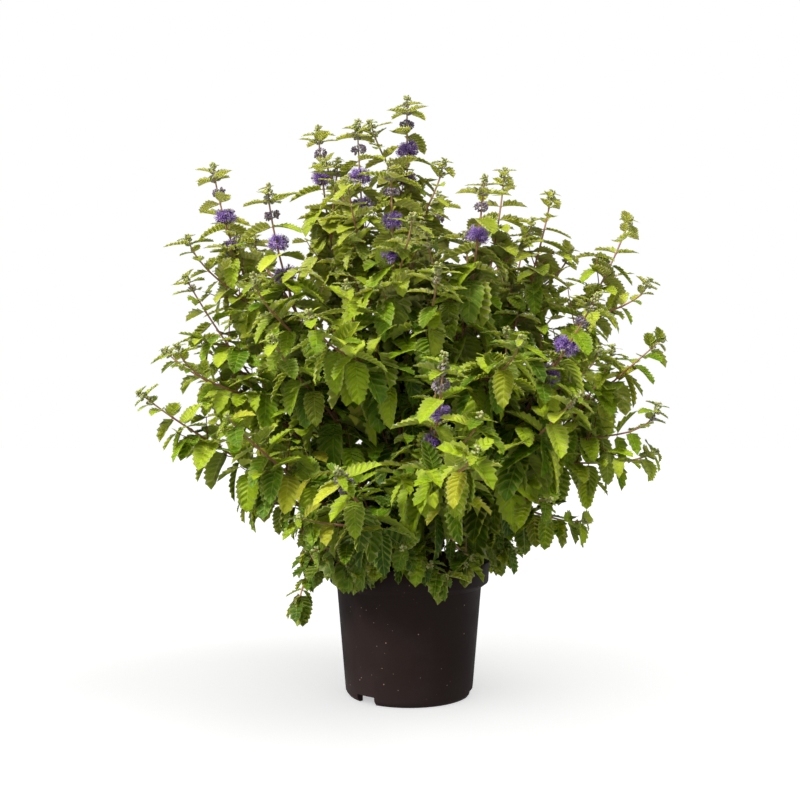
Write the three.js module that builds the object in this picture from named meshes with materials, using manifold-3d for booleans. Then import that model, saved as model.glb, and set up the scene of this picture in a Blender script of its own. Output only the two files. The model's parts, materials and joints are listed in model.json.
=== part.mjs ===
// A potted bluebeard: a round nursery pot full of soil, and a bush of leafy shoots with
// toothed leaves that carry whorls of violet flowers.
// Millimetres, +Z up. The pot stands on z = 0 around the Z axis and its front faces -Y.

import * as THREE from 'three';
import Module from 'manifold-3d';

const wasm = await Module();
wasm.setup();

// Pot
const POT_SIDES = 28;
const POT_HEIGHT = 155;
const RIM_TOP_RADIUS = 95;
const RIM_LOW_RADIUS = 93.4;
const RIM_LOW_Z = 131;
const BODY_TOP_RADIUS = 85;
const BODY_TOP_Z = 125;
const BODY_LOW_RADIUS = 74.6;
const FOOT_RADIUS = 71;
const FOOT_CORNER = 5;
const FOOT_WIDTH = 5;
const POT_WALL = 1.9;
const FLOOR_Z = 9.5;
const FLOOR_THICKNESS = 2.5;
const NOTCH_AZIMUTHS = [-132, -12, 108];
const NOTCH_LENGTH = 30;
const NOTCH_WIDTH = 13;
const NOTCH_HEIGHT = 8;

// Soil
const SOIL_SIDES = 18;
const SOIL_GAP = 0.5;
const SOIL_EDGE_Z = 136;
const SOIL_RINGS = [[60, 140]];
const SOIL_MIDDLE_Z = 143;
const SOIL_BUMP = 1.6;
const HOLE_DEPTH = 16;
const HOLE_CLEARANCE = 0.55;
const HOLE_LENGTH = 40;

// Stems
const STEM_FOOT_Z = SOIL_MIDDLE_Z - HOLE_DEPTH;
const STEM_COLLAR_Z = 150;
const STEM_FOOT_RADIUS = 2.5;
const BRANCH_FOOT_RADIUS = 1.9;
const STEM_TIP_RADIUS = 1.15;
const CURVE_STEPS = 40;
const CURVE_PULL = 0.36;
const ROOT_RISE = 0.55;
const BRANCH_FOLLOW = 0.8;
const BARE_STEPS = 2;
const LOWEST_JOINT = 25;

// How far from the middle of the soil a shoot starts: the full spread for one whose tip is
// both far out and low, less for one that stands upright.
const ROOT_SPREAD = 58;
const ROOT_MIDDLE_SHARE = 0.22;
const ROOT_REACH_SHARE = 0.5;
const ROOT_LOW_SHARE = 0.28;
const WIDEST_REACH = 290;
const HIGH_TIP = 640;
const LOW_TIP = 220;

// Joints of a stem, counted down from its tip: distance = FIRST * n + GROWTH * n * n.
const JOINT_FIRST = 20;
const JOINT_GROWTH = 2.4;

// Joints that carry full leaves; the joints between them carry only small ones.
const FLOWERING_LEAF_JOINTS = [1, 4, 5, 7];
const PLAIN_LEAF_JOINTS = [1, 3, 4, 6, 7];

// Leaves
const LEAF_NARROW = 0.4;
const LEAF_WIDEN = 0.0033;
const LEAF_WIDEST = 0.6;
const LEAF_THICKNESS = 1.2;
const LEAF_FOLD = 18;
const LEAF_STALK = 1.8;
const LEAF_SCATTER = 0.08;

// Share of its full size that a leaf reaches at joint n: FIRST + STEP * n, at most 1.
const GROWN_FIRST = 0.34;
const GROWN_STEP = 0.15;

// How a leaf leaves its stem, in degrees: a slant above square that shrinks with its length,
// a hang below that which grows with its length, and a bend toward its tip.
const SLANT_START = 38;
const SLANT_LOSS = 0.35;
const HANG_GAIN = 1.25;
const HANG_START = 26;
const STEEPEST = -75;
const BEND_START = 20;
const BEND_SHARE = 0.25;
const SWING_SCATTER = 14;
const HANG_SCATTER = 10;
const ROLL_SCATTER = 16;

// Room that a leaf needs, tested from a little way out with a slightly larger one.
const TEST_START = 0.1;
const TEST_SCALE = 1.03;
const TEST_THICKNESS = 2.0;

// Half outlines of a leaf from root to tip: [share of the length, share of half the width].
// Each group of points fans out from its own point on the midrib.
const SMALL_LEAF = {
  ribs: [0.45],
  edge: [[[0.16, 0.56], [0.42, 1.0], [0.5, 0.72], [0.73, 0.64]]],
};
const LARGE_LEAF = {
  ribs: [0.33, 0.62],
  edge: [
    [[0.13, 0.54], [0.33, 1.0], [0.4, 0.79]],
    [[0.56, 0.87], [0.63, 0.62], [0.8, 0.54]],
  ],
};
const LARGE_LEAF_FROM = 50;

// Ways a leaf may swing aside and droop to stay clear of its neighbours, in degrees.
const LEAF_ATTITUDES = [[0, 0], [16, 6], [-16, 6], [0, 22], [30, -8], [-30, -8], [22, 30], [-22, 30]];

// Flower whorls and buds
const WHORL_SIDES = 10;
const WHORL_BORE = 0.55;
const WHORL_RADIUS = 15.5;
const WHORL_HALF_HEIGHT = 10;
const WHORL_RISE = 13;
const WHORL_TOP_SIZE = 0.8;
const WHORL_SCATTER = 0.06;
const WHORL_NARROW = 0.78;
const WHORL_REACH_STEP = 6;

// Cross-section of a whorl as shares of its radius and half height, for the even corners and
// for the odd ones, which stand out in the middle.
const WHORL_EVEN = [[0.72, -0.95], [0.8, 0.25], [0.74, 1.0]];
const WHORL_ODD = [[0.5, -0.7], [1.04, -0.2], [0.5, 0.72]];

// Buds at the end of a stem, as rows of four corners that stand out in turn: [distance
// from the tip, radius of the first and third corner, radius of the others].
const PLAIN_BUDS = [[11, 1.2, 1.2], [7.5, 5, 3], [4, 2.6, 3.8]];
const FLOWERING_BUDS = [[19, 1.3, 1.3], [14.5, 7.4, 4.8], [11, 2, 2], [7.5, 3.2, 5], [4, 3.8, 2.6]];

// Shoots, chosen after the plant. `tip` is where the shoot ends, `lean` how far its end
// leans from upright in degrees, `joints` how many leaf joints it has, `leaf` the length
// of its largest leaves, `whorls` how many flower whorls it carries. A shoot with `on`
// branches off the shoot of that name at the share `at` of its length.
const SHOOTS = [
  { name: 'a', tip: [-237, 10, 630], lean: 8, joints: 8, leaf: 56, whorls: 3 },
  { name: 'b', tip: [-162, -60, 588], lean: 6, joints: 8, leaf: 60, whorls: 3 },
  { name: 'b2', on: 'b', at: 0.36, tip: [-150, -120, 410], lean: 34, joints: 4, leaf: 66, whorls: 0 },
  { name: 'c', tip: [-114, 60, 691], lean: 4, joints: 8, leaf: 60, whorls: 2 },
  { name: 'd', on: 'c', at: 0.45, tip: [-88, 150, 640], lean: 8, joints: 6, leaf: 54, whorls: 1 },
  { name: 'e', tip: [-62, 0, 680], lean: 2, joints: 8, leaf: 62, whorls: 3 },
  { name: 'e2', on: 'e', at: 0.34, tip: [-70, -112, 470], lean: 16, joints: 4, leaf: 68, whorls: 0 },
  { name: 'f', tip: [-2, 40, 722], lean: 2, joints: 8, leaf: 62, whorls: 3 },
  { name: 'f2', on: 'f', at: 0.3, tip: [30, -130, 486], lean: 16, joints: 4, leaf: 66, whorls: 0 },
  { name: 'g', tip: [-21, -90, 608], lean: 4, joints: 8, leaf: 68, whorls: 3 },
  { name: 'g2', on: 'g', at: 0.42, tip: [-104, -180, 430], lean: 24, joints: 5, leaf: 68, whorls: 0 },
  { name: 'h', tip: [86, -60, 598], lean: 6, joints: 8, leaf: 66, whorls: 2 },
  { name: 'h2', on: 'h', at: 0.4, tip: [112, -186, 404], lean: 26, joints: 5, leaf: 66, whorls: 0 },
  { name: 'i', tip: [120, 46, 634], lean: 6, joints: 8, leaf: 58, whorls: 0 },
  { name: 'j', tip: [176, 30, 602], lean: 10, joints: 8, leaf: 56, whorls: 0 },
  { name: 'j2', on: 'j', at: 0.34, tip: [180, -50, 404], lean: 30, joints: 4, leaf: 64, whorls: 0 },
  { name: 'k', tip: [270, 20, 568], lean: 20, joints: 8, leaf: 52, whorls: 0 },
  { name: 'k2', on: 'k', at: 0.42, tip: [236, 50, 420], lean: 34, joints: 4, leaf: 60, whorls: 0 },
  { name: 'l', tip: [300, -20, 418], lean: 48, joints: 7, leaf: 60, whorls: 0 },
  { name: 'l2', on: 'l', at: 0.36, tip: [286, -40, 284], lean: 62, joints: 5, leaf: 52, whorls: 0 },
  { name: 'l3', on: 'l', at: 0.2, tip: [200, -60, 206], lean: 78, joints: 3, leaf: 60, whorls: 0 },
  { name: 'm', tip: [205, -110, 457], lean: 30, joints: 7, leaf: 64, whorls: 3 },
  { name: 'm2', on: 'm', at: 0.24, tip: [150, -126, 236], lean: 70, joints: 3, leaf: 64, whorls: 0 },
  { name: 'n', tip: [179, -150, 347], lean: 50, joints: 5, leaf: 70, whorls: 0 },
  { name: 'o', tip: [32, -225, 384], lean: 18, joints: 7, leaf: 60, whorls: 3 },
  { name: 'o2', on: 'o', at: 0.36, tip: [60, -273, 292], lean: 52, joints: 4, leaf: 58, whorls: 0 },
  { name: 'p', tip: [-72, -232, 272], lean: 52, joints: 4, leaf: 58, whorls: 1 },
  { name: 'p2', on: 'p', at: 0.3, tip: [-118, -150, 218], lean: 70, joints: 3, leaf: 60, whorls: 0 },
  { name: 'q', tip: [-262, -30, 489], lean: 28, joints: 7, leaf: 54, whorls: 0 },
  { name: 'q2', on: 'q', at: 0.46, tip: [-290, -14, 404], lean: 44, joints: 4, leaf: 50, whorls: 0 },
  { name: 'r', tip: [-306, -66, 352], lean: 50, joints: 5, leaf: 52, whorls: 0 },
  { name: 'r2', on: 'r', at: 0.28, tip: [-196, -30, 226], lean: 74, joints: 3, leaf: 58, whorls: 0 },
  { name: 'r3', on: 'r', at: 0.14, tip: [-128, -58, 108], lean: 150, joints: 3, leaf: 46, whorls: 0 },
  { name: 's', tip: [-194, -140, 324], lean: 44, joints: 5, leaf: 58, whorls: 0 },
  { name: 't', tip: [-104, -104, 178], lean: 92, joints: 2, leaf: 50, whorls: 0 },
  { name: 'u', tip: [-8, -150, 186], lean: 88, joints: 2, leaf: 58, whorls: 0 },
  { name: 'v', tip: [-206, 140, 552], lean: 14, joints: 7, leaf: 56, whorls: 1 },
  { name: 'v2', on: 'v', at: 0.34, tip: [-256, 116, 320], lean: 52, joints: 5, leaf: 56, whorls: 0 },
  { name: 'w', tip: [40, 120, 622], lean: 6, joints: 7, leaf: 60, whorls: 1 },
  { name: 'w2', on: 'w', at: 0.3, tip: [52, 190, 410], lean: 30, joints: 4, leaf: 62, whorls: 0 },
  { name: 'x', tip: [158, 150, 572], lean: 14, joints: 7, leaf: 58, whorls: 0 },
  { name: 'x2', on: 'x', at: 0.36, tip: [170, 130, 390], lean: 34, joints: 4, leaf: 62, whorls: 0 },
  { name: 'y', tip: [250, 140, 460], lean: 34, joints: 7, leaf: 56, whorls: 0 },
  { name: 'y2', on: 'y', at: 0.3, tip: [190, 196, 250], lean: 66, joints: 4, leaf: 56, whorls: 0 },
  { name: 'z', tip: [-20, 240, 540], lean: 22, joints: 7, leaf: 62, whorls: 1 },
  { name: 'z2', on: 'z', at: 0.34, tip: [-14, 276, 322], lean: 50, joints: 4, leaf: 60, whorls: 0 },
  { name: 'aa', tip: [-150, 246, 430], lean: 32, joints: 5, leaf: 60, whorls: 1 },
  { name: 'aa2', on: 'aa', at: 0.26, tip: [-120, 176, 226], lean: 74, joints: 3, leaf: 60, whorls: 0 },
  { name: 'bb', tip: [130, 252, 420], lean: 34, joints: 5, leaf: 62, whorls: 0 },
  { name: 'bb2', on: 'bb', at: 0.26, tip: [70, 196, 228], lean: 74, joints: 3, leaf: 60, whorls: 0 },
];

// Colours
const POT_COLOUR = 0x2a221f;
const SOIL_COLOUR = 0x33251b;
const LEAF_COLOUR = 0x6f8424;
const BLOOM_COLOUR = 0x6a4fa8;

const DEG = Math.PI / 180;
const UP = new THREE.Vector3(0, 0, 1);

const potMaterial = new THREE.MeshStandardMaterial({ color: POT_COLOUR, roughness: 0.6, metalness: 0 });
const soilMaterial = new THREE.MeshStandardMaterial({ color: SOIL_COLOUR, roughness: 1, metalness: 0 });
const leafMaterial = new THREE.MeshStandardMaterial({ color: LEAF_COLOUR, roughness: 0.7, metalness: 0 });
const bloomMaterial = new THREE.MeshStandardMaterial({ color: BLOOM_COLOUR, roughness: 0.8, metalness: 0 });

// Repeatable scatter between -1 and 1 for the item `index` of the thing `seed`.
function scatter(seed, index) {
  const wave = Math.sin(seed * 12.9898 + index * 78.233) * 43758.5453;
  return 2 * (wave - Math.floor(wave)) - 1;
}

// Turns corner positions and triangles into a closed solid.
function solidFromFaces(points, faces) {
  const vertProperties = new Float32Array(points.flatMap((p) => [p.x, p.y, p.z]));
  const triVerts = new Uint32Array(faces.flat());
  return new wasm.Manifold(new wasm.Mesh({ numProp: 3, vertProperties, triVerts }));
}

// Turns a closed three.js geometry into a solid.
function solidFromGeometry(geometry) {
  const bare = geometry.clone();
  bare.deleteAttribute('normal');
  bare.deleteAttribute('uv');
  const merged = mergeCorners(bare);
  return new wasm.Manifold(new wasm.Mesh(merged));
}

// Joins the corners of a geometry that share a position and drops faces without area.
function mergeCorners(geometry) {
  const position = geometry.getAttribute('position');
  const order = geometry.index ? Array.from(geometry.index.array) : [...Array(position.count).keys()];
  const known = new Map();
  const vertProperties = [];
  const corner = order.map((i) => {
    const place = [position.getX(i), position.getY(i), position.getZ(i)];
    const key = place.map((value) => Math.round(value * 1e4)).join(' ');
    if (!known.has(key)) {
      known.set(key, known.size);
      vertProperties.push(...place);
    }
    return known.get(key);
  });
  const triVerts = [];
  for (let i = 0; i < corner.length; i += 3) {
    const [a, b, c] = corner.slice(i, i + 3);
    if (a !== b && b !== c && c !== a) {
      triVerts.push(a, b, c);
    }
  }
  return {
    numProp: 3,
    vertProperties: new Float32Array(vertProperties),
    triVerts: new Uint32Array(triVerts),
  };
}

// Makes a named mesh of a solid.
function meshFromSolid(solid, name, material) {
  const { vertProperties, triVerts } = solid.getMesh();
  const geometry = new THREE.BufferGeometry();
  geometry.setAttribute('position', new THREE.BufferAttribute(new Float32Array(vertProperties), 3));
  geometry.setIndex(new THREE.BufferAttribute(new Uint32Array(triVerts), 1));
  geometry.computeVertexNormals();
  const mesh = new THREE.Mesh(geometry, material);
  mesh.name = name;
  return mesh;
}

// A solid of revolution about the Z axis; the profile runs around the section once.
function turnedSolid(profile, sides) {
  const points = profile.map(([radius, z]) => new THREE.Vector2(radius, z));
  points.push(points[0].clone());
  const geometry = new THREE.LatheGeometry(points, sides);
  geometry.rotateX(90 * DEG);
  return solidFromGeometry(geometry);
}

// The pot: thin wall with a wide rim band, a raised floor on a foot ring, three notches
// in the foot where water drains.
function potSolid() {
  const innerFoot = FOOT_RADIUS - FOOT_WIDTH;
  const profile = [
    [0, FLOOR_Z],
    [innerFoot, FLOOR_Z],
    [innerFoot, 0],
    [FOOT_RADIUS, 0],
    [BODY_LOW_RADIUS, FOOT_CORNER],
    [BODY_TOP_RADIUS, BODY_TOP_Z],
    [RIM_LOW_RADIUS, RIM_LOW_Z],
    [RIM_TOP_RADIUS, POT_HEIGHT - 1],
    [RIM_TOP_RADIUS - 0.8, POT_HEIGHT],
    [RIM_TOP_RADIUS - POT_WALL - 0.5, POT_HEIGHT],
    [RIM_LOW_RADIUS - POT_WALL, RIM_LOW_Z + 1.5],
    [BODY_TOP_RADIUS - POT_WALL, BODY_TOP_Z + 1.5],
    [BODY_LOW_RADIUS - POT_WALL, FLOOR_Z + FLOOR_THICKNESS],
    [0, FLOOR_Z + FLOOR_THICKNESS],
  ];
  let pot = turnedSolid(profile, POT_SIDES);
  for (const azimuth of NOTCH_AZIMUTHS) {
    const notch = new THREE.BoxGeometry(NOTCH_LENGTH, NOTCH_WIDTH, 2 * NOTCH_HEIGHT);
    notch.translate(FOOT_RADIUS, 0, 0);
    notch.rotateZ(azimuth * DEG);
    pot = pot.subtract(solidFromGeometry(notch));
  }
  return pot;
}

// The soil: fills the pot up to a slightly bumpy surface just under the rim.
function soilSolid() {
  const wall = POT_WALL + SOIL_GAP;
  const profile = [
    [0, FLOOR_Z + FLOOR_THICKNESS + SOIL_GAP],
    [BODY_LOW_RADIUS - wall - 0.5, FLOOR_Z + FLOOR_THICKNESS + SOIL_GAP],
    [BODY_TOP_RADIUS - wall - 0.5, BODY_TOP_Z + 1.5],
    [RIM_LOW_RADIUS - wall - 0.5, RIM_LOW_Z + 3],
    [RIM_LOW_RADIUS - wall - 0.5, SOIL_EDGE_Z],
    ...SOIL_RINGS,
    [0, SOIL_MIDDLE_Z],
  ];
  const points = profile.map(([radius, z]) => new THREE.Vector2(radius, z));
  points.push(points[0].clone());
  const geometry = new THREE.LatheGeometry(points, SOIL_SIDES);
  geometry.rotateX(90 * DEG);
  const position = geometry.getAttribute('position');
  for (let i = 0; i < position.count; i += 1) {
    const x = position.getX(i);
    const y = position.getY(i);
    const z = position.getZ(i);
    if (z > SOIL_EDGE_Z + 1) {
      const bump = scatter(Math.round(x), Math.round(y));
      position.setZ(i, z + SOIL_BUMP * bump);
    }
  }
  return solidFromGeometry(geometry);
}

// Where a shoot starts: on the soil, further out the further its tip hangs out.
function rootPoint(shoot) {
  const [x, y, z] = shoot.tip;
  const reach = Math.hypot(x, y);
  const low = Math.min(1, Math.max(0, (HIGH_TIP - z) / (HIGH_TIP - LOW_TIP)));
  const out = ROOT_MIDDLE_SHARE + (ROOT_REACH_SHARE * reach) / WIDEST_REACH + ROOT_LOW_SHARE * low;
  const radius = ROOT_SPREAD * Math.min(1, out);
  return new THREE.Vector3((x / reach) * radius, (y / reach) * radius, STEM_COLLAR_Z);
}

// The line of a shoot: even steps along a smooth curve that leaves its root toward the
// tip and ends at the given lean.
function shootLine(shoot, start, startDirection) {
  const tip = new THREE.Vector3(...shoot.tip);
  const span = tip.clone().sub(start);
  const outward = new THREE.Vector3(span.x, span.y, 0).normalize();
  const lean = shoot.lean * DEG;
  const end = outward.clone().multiplyScalar(Math.sin(lean)).addScaledVector(UP, Math.cos(lean));
  const curve = new THREE.CubicBezierCurve3(
    start,
    start.clone().addScaledVector(startDirection, span.length() * CURVE_PULL),
    tip.clone().addScaledVector(end, -span.length() * CURVE_PULL),
    tip,
  );
  return curve.getPoints(CURVE_STEPS);
}

// How far below the tip joint n lies.
function jointDistance(n) {
  return JOINT_FIRST * n + JOINT_GROWTH * n * n;
}

// The point a given distance back from the tip, along a line of points.
function pointFromTip(line, distance) {
  let left = distance;
  for (let i = line.length - 1; i > 0; i -= 1) {
    const step = line[i].distanceTo(line[i - 1]);
    if (left <= step) {
      return line[i].clone().lerp(line[i - 1], left / step);
    }
    left -= step;
  }
  return line[0].clone();
}

// Length of a line of points.
function lineLength(line) {
  let length = 0;
  for (let i = 1; i < line.length; i += 1) {
    length += line[i].distanceTo(line[i - 1]);
  }
  return length;
}

// The axis of a stem: its start, some bare points, then two points at each joint that
// carries leaves, just below and just above it, then the rows of its buds and the tip.
// Each joint returned, counted from the tip, holds the index of its lower point.
function stemAxis(shoot, start, startDirection, isRooted) {
  const line = shootLine(shoot, start, startDirection);
  const length = lineLength(line);
  const leafJoints = shoot.whorls > 0 ? FLOWERING_LEAF_JOINTS : PLAIN_LEAF_JOINTS;
  const joints = [];
  for (let n = 1; n <= shoot.joints; n += 1) {
    const distance = jointDistance(n);
    if (distance < length - LOWEST_JOINT && leafJoints.includes(n)) {
      joints.unshift({ n, distance });
    }
  }
  const points = [];
  if (isRooted) {
    points.push(start.clone().setZ(STEM_FOOT_Z));
  }
  for (let i = 0; i < BARE_STEPS; i += 1) {
    const bare = length - joints[0].distance;
    points.push(pointFromTip(line, length - (bare * i) / BARE_STEPS));
  }
  for (const joint of joints) {
    joint.row = points.length;
    joint.root = pointFromTip(line, joint.distance);
    points.push(pointFromTip(line, joint.distance + 0.5 * LEAF_STALK));
    points.push(pointFromTip(line, joint.distance - 0.5 * LEAF_STALK));
  }
  const buds = (shoot.whorls > 0 ? FLOWERING_BUDS : PLAIN_BUDS).map(([distance, even, odd]) => {
    points.push(pointFromTip(line, distance));
    return [even, odd];
  });
  points.push(line[line.length - 1].clone());
  return { line, points, joints, buds };
}

// Direction of an axis at one of its points.
function axisDirection(points, i) {
  const before = points[Math.max(0, i - 1)];
  const after = points[Math.min(points.length - 1, i + 1)];
  return after.clone().sub(before).normalize();
}

// Two directions square to a stem and to each other, the first nearest the reference.
function crossDirections(along, reference) {
  const side = reference.clone().addScaledVector(along, -reference.dot(along)).normalize();
  return [side, along.clone().cross(side)];
}

// A square tapering stem that ends in buds. Each leaf grows out of the face of the stem
// between the two rows of corners at its joint.
function stemSolid(stem, leaves) {
  const { points: axisPoints, buds } = stem.axis;
  const stemRows = axisPoints.length - 1 - buds.length;
  const points = [];
  const faces = [[0, 2, 1], [0, 3, 2]];
  for (let i = 0; i + 1 < axisPoints.length; i += 1) {
    const directions = crossDirections(axisDirection(axisPoints, i), stem.reference);
    const plain = stemRadius(stem, i / stemRows);
    const radii = i < stemRows ? [plain, plain] : buds[i - stemRows];
    for (let k = 0; k < 4; k += 1) {
      const reach = radii[k % 2] * (k < 2 ? 1 : -1);
      points.push(axisPoints[i].clone().addScaledVector(directions[k % 2], reach));
    }
  }
  const tip = points.push(axisPoints[axisPoints.length - 1]) - 1;
  for (let i = 0; i + 2 < axisPoints.length; i += 1) {
    for (let k = 0; k < 4; k += 1) {
      const a = 4 * i + k;
      const b = 4 * i + ((k + 1) % 4);
      const leaf = leaves.find((item) => item.row === i && item.face === k);
      if (leaf) {
        addLeaf(points, faces, leaf, 1, LEAF_THICKNESS, [a + 4, b + 4, a, b]);
      } else {
        faces.push([a, b, b + 4], [a, b + 4, a + 4]);
      }
    }
  }
  for (let k = 0; k < 4; k += 1) {
    faces.push([tip - 4 + k, tip - 4 + ((k + 1) % 4), tip]);
  }
  return solidFromFaces(points, faces);
}

// A whorl of flowers around a stem: a ring whose rows of corners stand out in turn like
// florets, fuller on the two sides where the leaves of the joint stand.
function whorlSolid(center, along, leafSide, stemRadius, size) {
  const across = along.clone().cross(leafSide);
  const bore = stemRadius + WHORL_BORE;
  const points = [];
  const faces = [];
  for (let k = 0; k < WHORL_SIDES; k += 1) {
    const angle = (k * 2 * Math.PI) / WHORL_SIDES;
    const lobe = WHORL_NARROW + (1 - WHORL_NARROW) * Math.abs(Math.cos(angle));
    const shares = k % 2 === 0 ? WHORL_EVEN : WHORL_ODD;
    const outer = shares.map(([reach, rise]) => [size * lobe * reach, WHORL_HALF_HEIGHT * rise]);
    for (const [reach, rise] of [[bore, 0], ...outer]) {
      points.push(
        center
          .clone()
          .addScaledVector(leafSide, reach * Math.cos(angle))
          .addScaledVector(across, reach * Math.sin(angle))
          .addScaledVector(along, rise),
      );
    }
    const next = (k + 1) % WHORL_SIDES;
    for (let j = 0; j < 4; j += 1) {
      const a = 4 * k + j;
      const b = 4 * k + ((j + 1) % 4);
      const c = 4 * next + ((j + 1) % 4);
      const d = 4 * next + j;
      faces.push([a, c, b], [a, d, c]);
    }
  }
  return solidFromFaces(points, faces);
}

// Chooses the outline for a leaf of the given length.
function leafShape(length) {
  return length >= LARGE_LEAF_FROM ? LARGE_LEAF : SMALL_LEAF;
}

// The point of a leaf at a share of its length, a way across it and a height above it.
// The leaf is folded a little along the midrib and bends down toward its tip.
function leafPoint(leaf, scale, share, across, height) {
  const length = leaf.length * scale;
  const turn = leaf.bend * share;
  const forward = (length * Math.sin(turn)) / leaf.bend;
  const down = (length * (1 - Math.cos(turn))) / leaf.bend;
  const fold = LEAF_FOLD * DEG;
  const lift = Math.abs(across) * Math.sin(fold) + height;
  return leaf.root
    .clone()
    .addScaledVector(leaf.along, forward + Math.sin(turn) * lift)
    .addScaledVector(leaf.top, Math.cos(turn) * lift - down)
    .addScaledVector(leaf.along.clone().cross(leaf.top), across * Math.cos(fold));
}

// Adds a toothed leaf, thick along the midrib and sharp at the edge, that grows out of
// four corners: upper and lower on one hand, upper and lower on the other.
function addLeaf(points, faces, leaf, scale, thickness, [upperOne, upperTwo, lowerOne, lowerTwo]) {
  const shape = leafShape(leaf.length);
  const widthShare = Math.min(LEAF_WIDEST, LEAF_NARROW + LEAF_WIDEN * leaf.length);
  const halfWidth = 0.5 * widthShare * leaf.length * scale;
  const add = (share, across, height) => points.push(leafPoint(leaf, scale, share, across, height)) - 1;
  const tip = add(1, 0, 0);
  const ribs = shape.ribs.map((share) => {
    const upper = add(share, 0, 0.5 * thickness);
    add(share, 0, -0.5 * thickness);
    return upper;
  });
  faces.push([upperTwo, upperOne, ribs[0]], [lowerTwo, ribs[0] + 1, lowerOne]);
  for (const hand of [1, -1]) {
    let before = hand > 0 ? upperOne : upperTwo;
    let beforeLow = hand > 0 ? lowerOne : lowerTwo;
    shape.edge.forEach((group, g) => {
      const rib = ribs[g];
      if (g > 0) {
        addLeafFaces(faces, hand, [ribs[g - 1], before, rib], [ribs[g - 1] + 1, before, rib + 1]);
      }
      for (const [share, width] of group) {
        const here = add(share, hand * width * halfWidth, 0);
        addLeafFaces(faces, hand, [before, here, rib], [beforeLow, here, rib + 1]);
        if (before !== beforeLow) {
          faces.push(hand > 0 ? [before, beforeLow, here] : [beforeLow, before, here]);
        }
        before = here;
        beforeLow = here;
      }
    });
    const rib = ribs[ribs.length - 1];
    addLeafFaces(faces, hand, [before, tip, rib], [before, tip, rib + 1]);
  }
}

// Adds a face of the top of a leaf and the matching face of its underside.
function addLeafFaces(faces, hand, upper, lower) {
  const [a, b, c] = upper;
  const [d, e, f] = lower;
  faces.push(hand > 0 ? [a, b, c] : [a, c, b]);
  faces.push(hand > 0 ? [d, f, e] : [d, e, f]);
}

// A slightly larger leaf on its own, from a little way out, to test for room.
function leafTestSolid(leaf) {
  const half = 0.5 * TEST_THICKNESS;
  const points = [
    leafPoint(leaf, TEST_SCALE, TEST_START, 1, half),
    leafPoint(leaf, TEST_SCALE, TEST_START, -1, half),
    leafPoint(leaf, TEST_SCALE, TEST_START, 1, -half),
    leafPoint(leaf, TEST_SCALE, TEST_START, -1, -half),
  ];
  const faces = [[0, 1, 3], [0, 3, 2]];
  addLeaf(points, faces, leaf, TEST_SCALE, TEST_THICKNESS, [0, 1, 2, 3]);
  return solidFromFaces(points, faces);
}

// Length of a leaf at joint n of a shoot: small near the tip, full size further down.
function leafLength(shoot, n, index) {
  const grown = Math.min(1, GROWN_FIRST + GROWN_STEP * n);
  return shoot.leaf * grown * (1 + LEAF_SCATTER * scatter(index, 5 * n));
}

// The two leaves of a joint stand across the stem from each other, a quarter turn on from
// the pair before. They leave the stem at a slant and hang more the larger they are.
function leafAt(stem, joint, hand, attitude) {
  const { shoot, index, reference } = stem;
  const { n, row } = joint;
  const [swing, droop] = attitude;
  const item = 20 * n + 7 * hand;
  const along = axisDirection(stem.axis.points, row);
  const [side, across] = crossDirections(along, reference);
  const face = (n % 2) + 2 * hand;
  const angle = (45 + 90 * face + SWING_SCATTER * scatter(index, item) + swing) * DEG;
  const away = side.clone().multiplyScalar(Math.cos(angle)).addScaledVector(across, Math.sin(angle));
  const length = leafLength(shoot, n, index);
  const slant = (SLANT_START - SLANT_LOSS * length) * DEG;
  const hangScatter = HANG_SCATTER * scatter(index, item + 1);
  const hang = (HANG_GAIN * length - HANG_START + hangScatter + droop) * DEG;
  const leafway = away.clone().multiplyScalar(Math.cos(slant)).addScaledVector(along, Math.sin(slant));
  const level = new THREE.Vector3(leafway.x, leafway.y, 0);
  const rise = Math.atan2(leafway.z, level.length());
  const pitch = Math.max(STEEPEST * DEG, rise - hang);
  level.normalize();
  const direction = level.clone().multiplyScalar(Math.cos(pitch)).addScaledVector(UP, Math.sin(pitch));
  const top = level.clone().multiplyScalar(-Math.sin(pitch)).addScaledVector(UP, Math.cos(pitch));
  top.applyAxisAngle(direction, ROLL_SCATTER * DEG * scatter(index, item + 2));
  const bend = BEND_START * DEG + BEND_SHARE * Math.max(0, hang);
  return { root: joint.root, along: direction, top, length, bend, row, face };
}

// Whether two boxes around solids meet.
function boxesMeet(a, b) {
  return [0, 1, 2].every((k) => a.min[k] <= b.max[k] && b.min[k] <= a.max[k]);
}

// Whether a solid runs into any of the others.
function runsInto(solid, others) {
  const box = solid.boundingBox();
  return others.some((other) => {
    if (!boxesMeet(box, other.box)) {
      return false;
    }
    return solid.intersect(other.solid).volume() > 1e-6;
  });
}

// The plain hole in the soil that a stem stands in.
function stemHole(stem) {
  const [foot] = stem.axis.points;
  const width = (stem.footRadius + HOLE_CLEARANCE) * Math.SQRT2;
  const hole = new THREE.BoxGeometry(width, width, HOLE_LENGTH);
  hole.rotateZ(Math.atan2(stem.reference.y, stem.reference.x) + 45 * DEG);
  hole.translate(foot.x, foot.y, foot.z - HOLE_CLEARANCE + 0.5 * HOLE_LENGTH);
  return solidFromGeometry(hole);
}

// Radius of a stem at a share of its length.
function stemRadius(stem, share) {
  return stem.footRadius + (STEM_TIP_RADIUS - stem.footRadius) * share;
}

// Everything placed so far that a leaf has to stay clear of.
const taken = [];
function take(solid) {
  taken.push({ solid, box: solid.boundingBox() });
}

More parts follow.
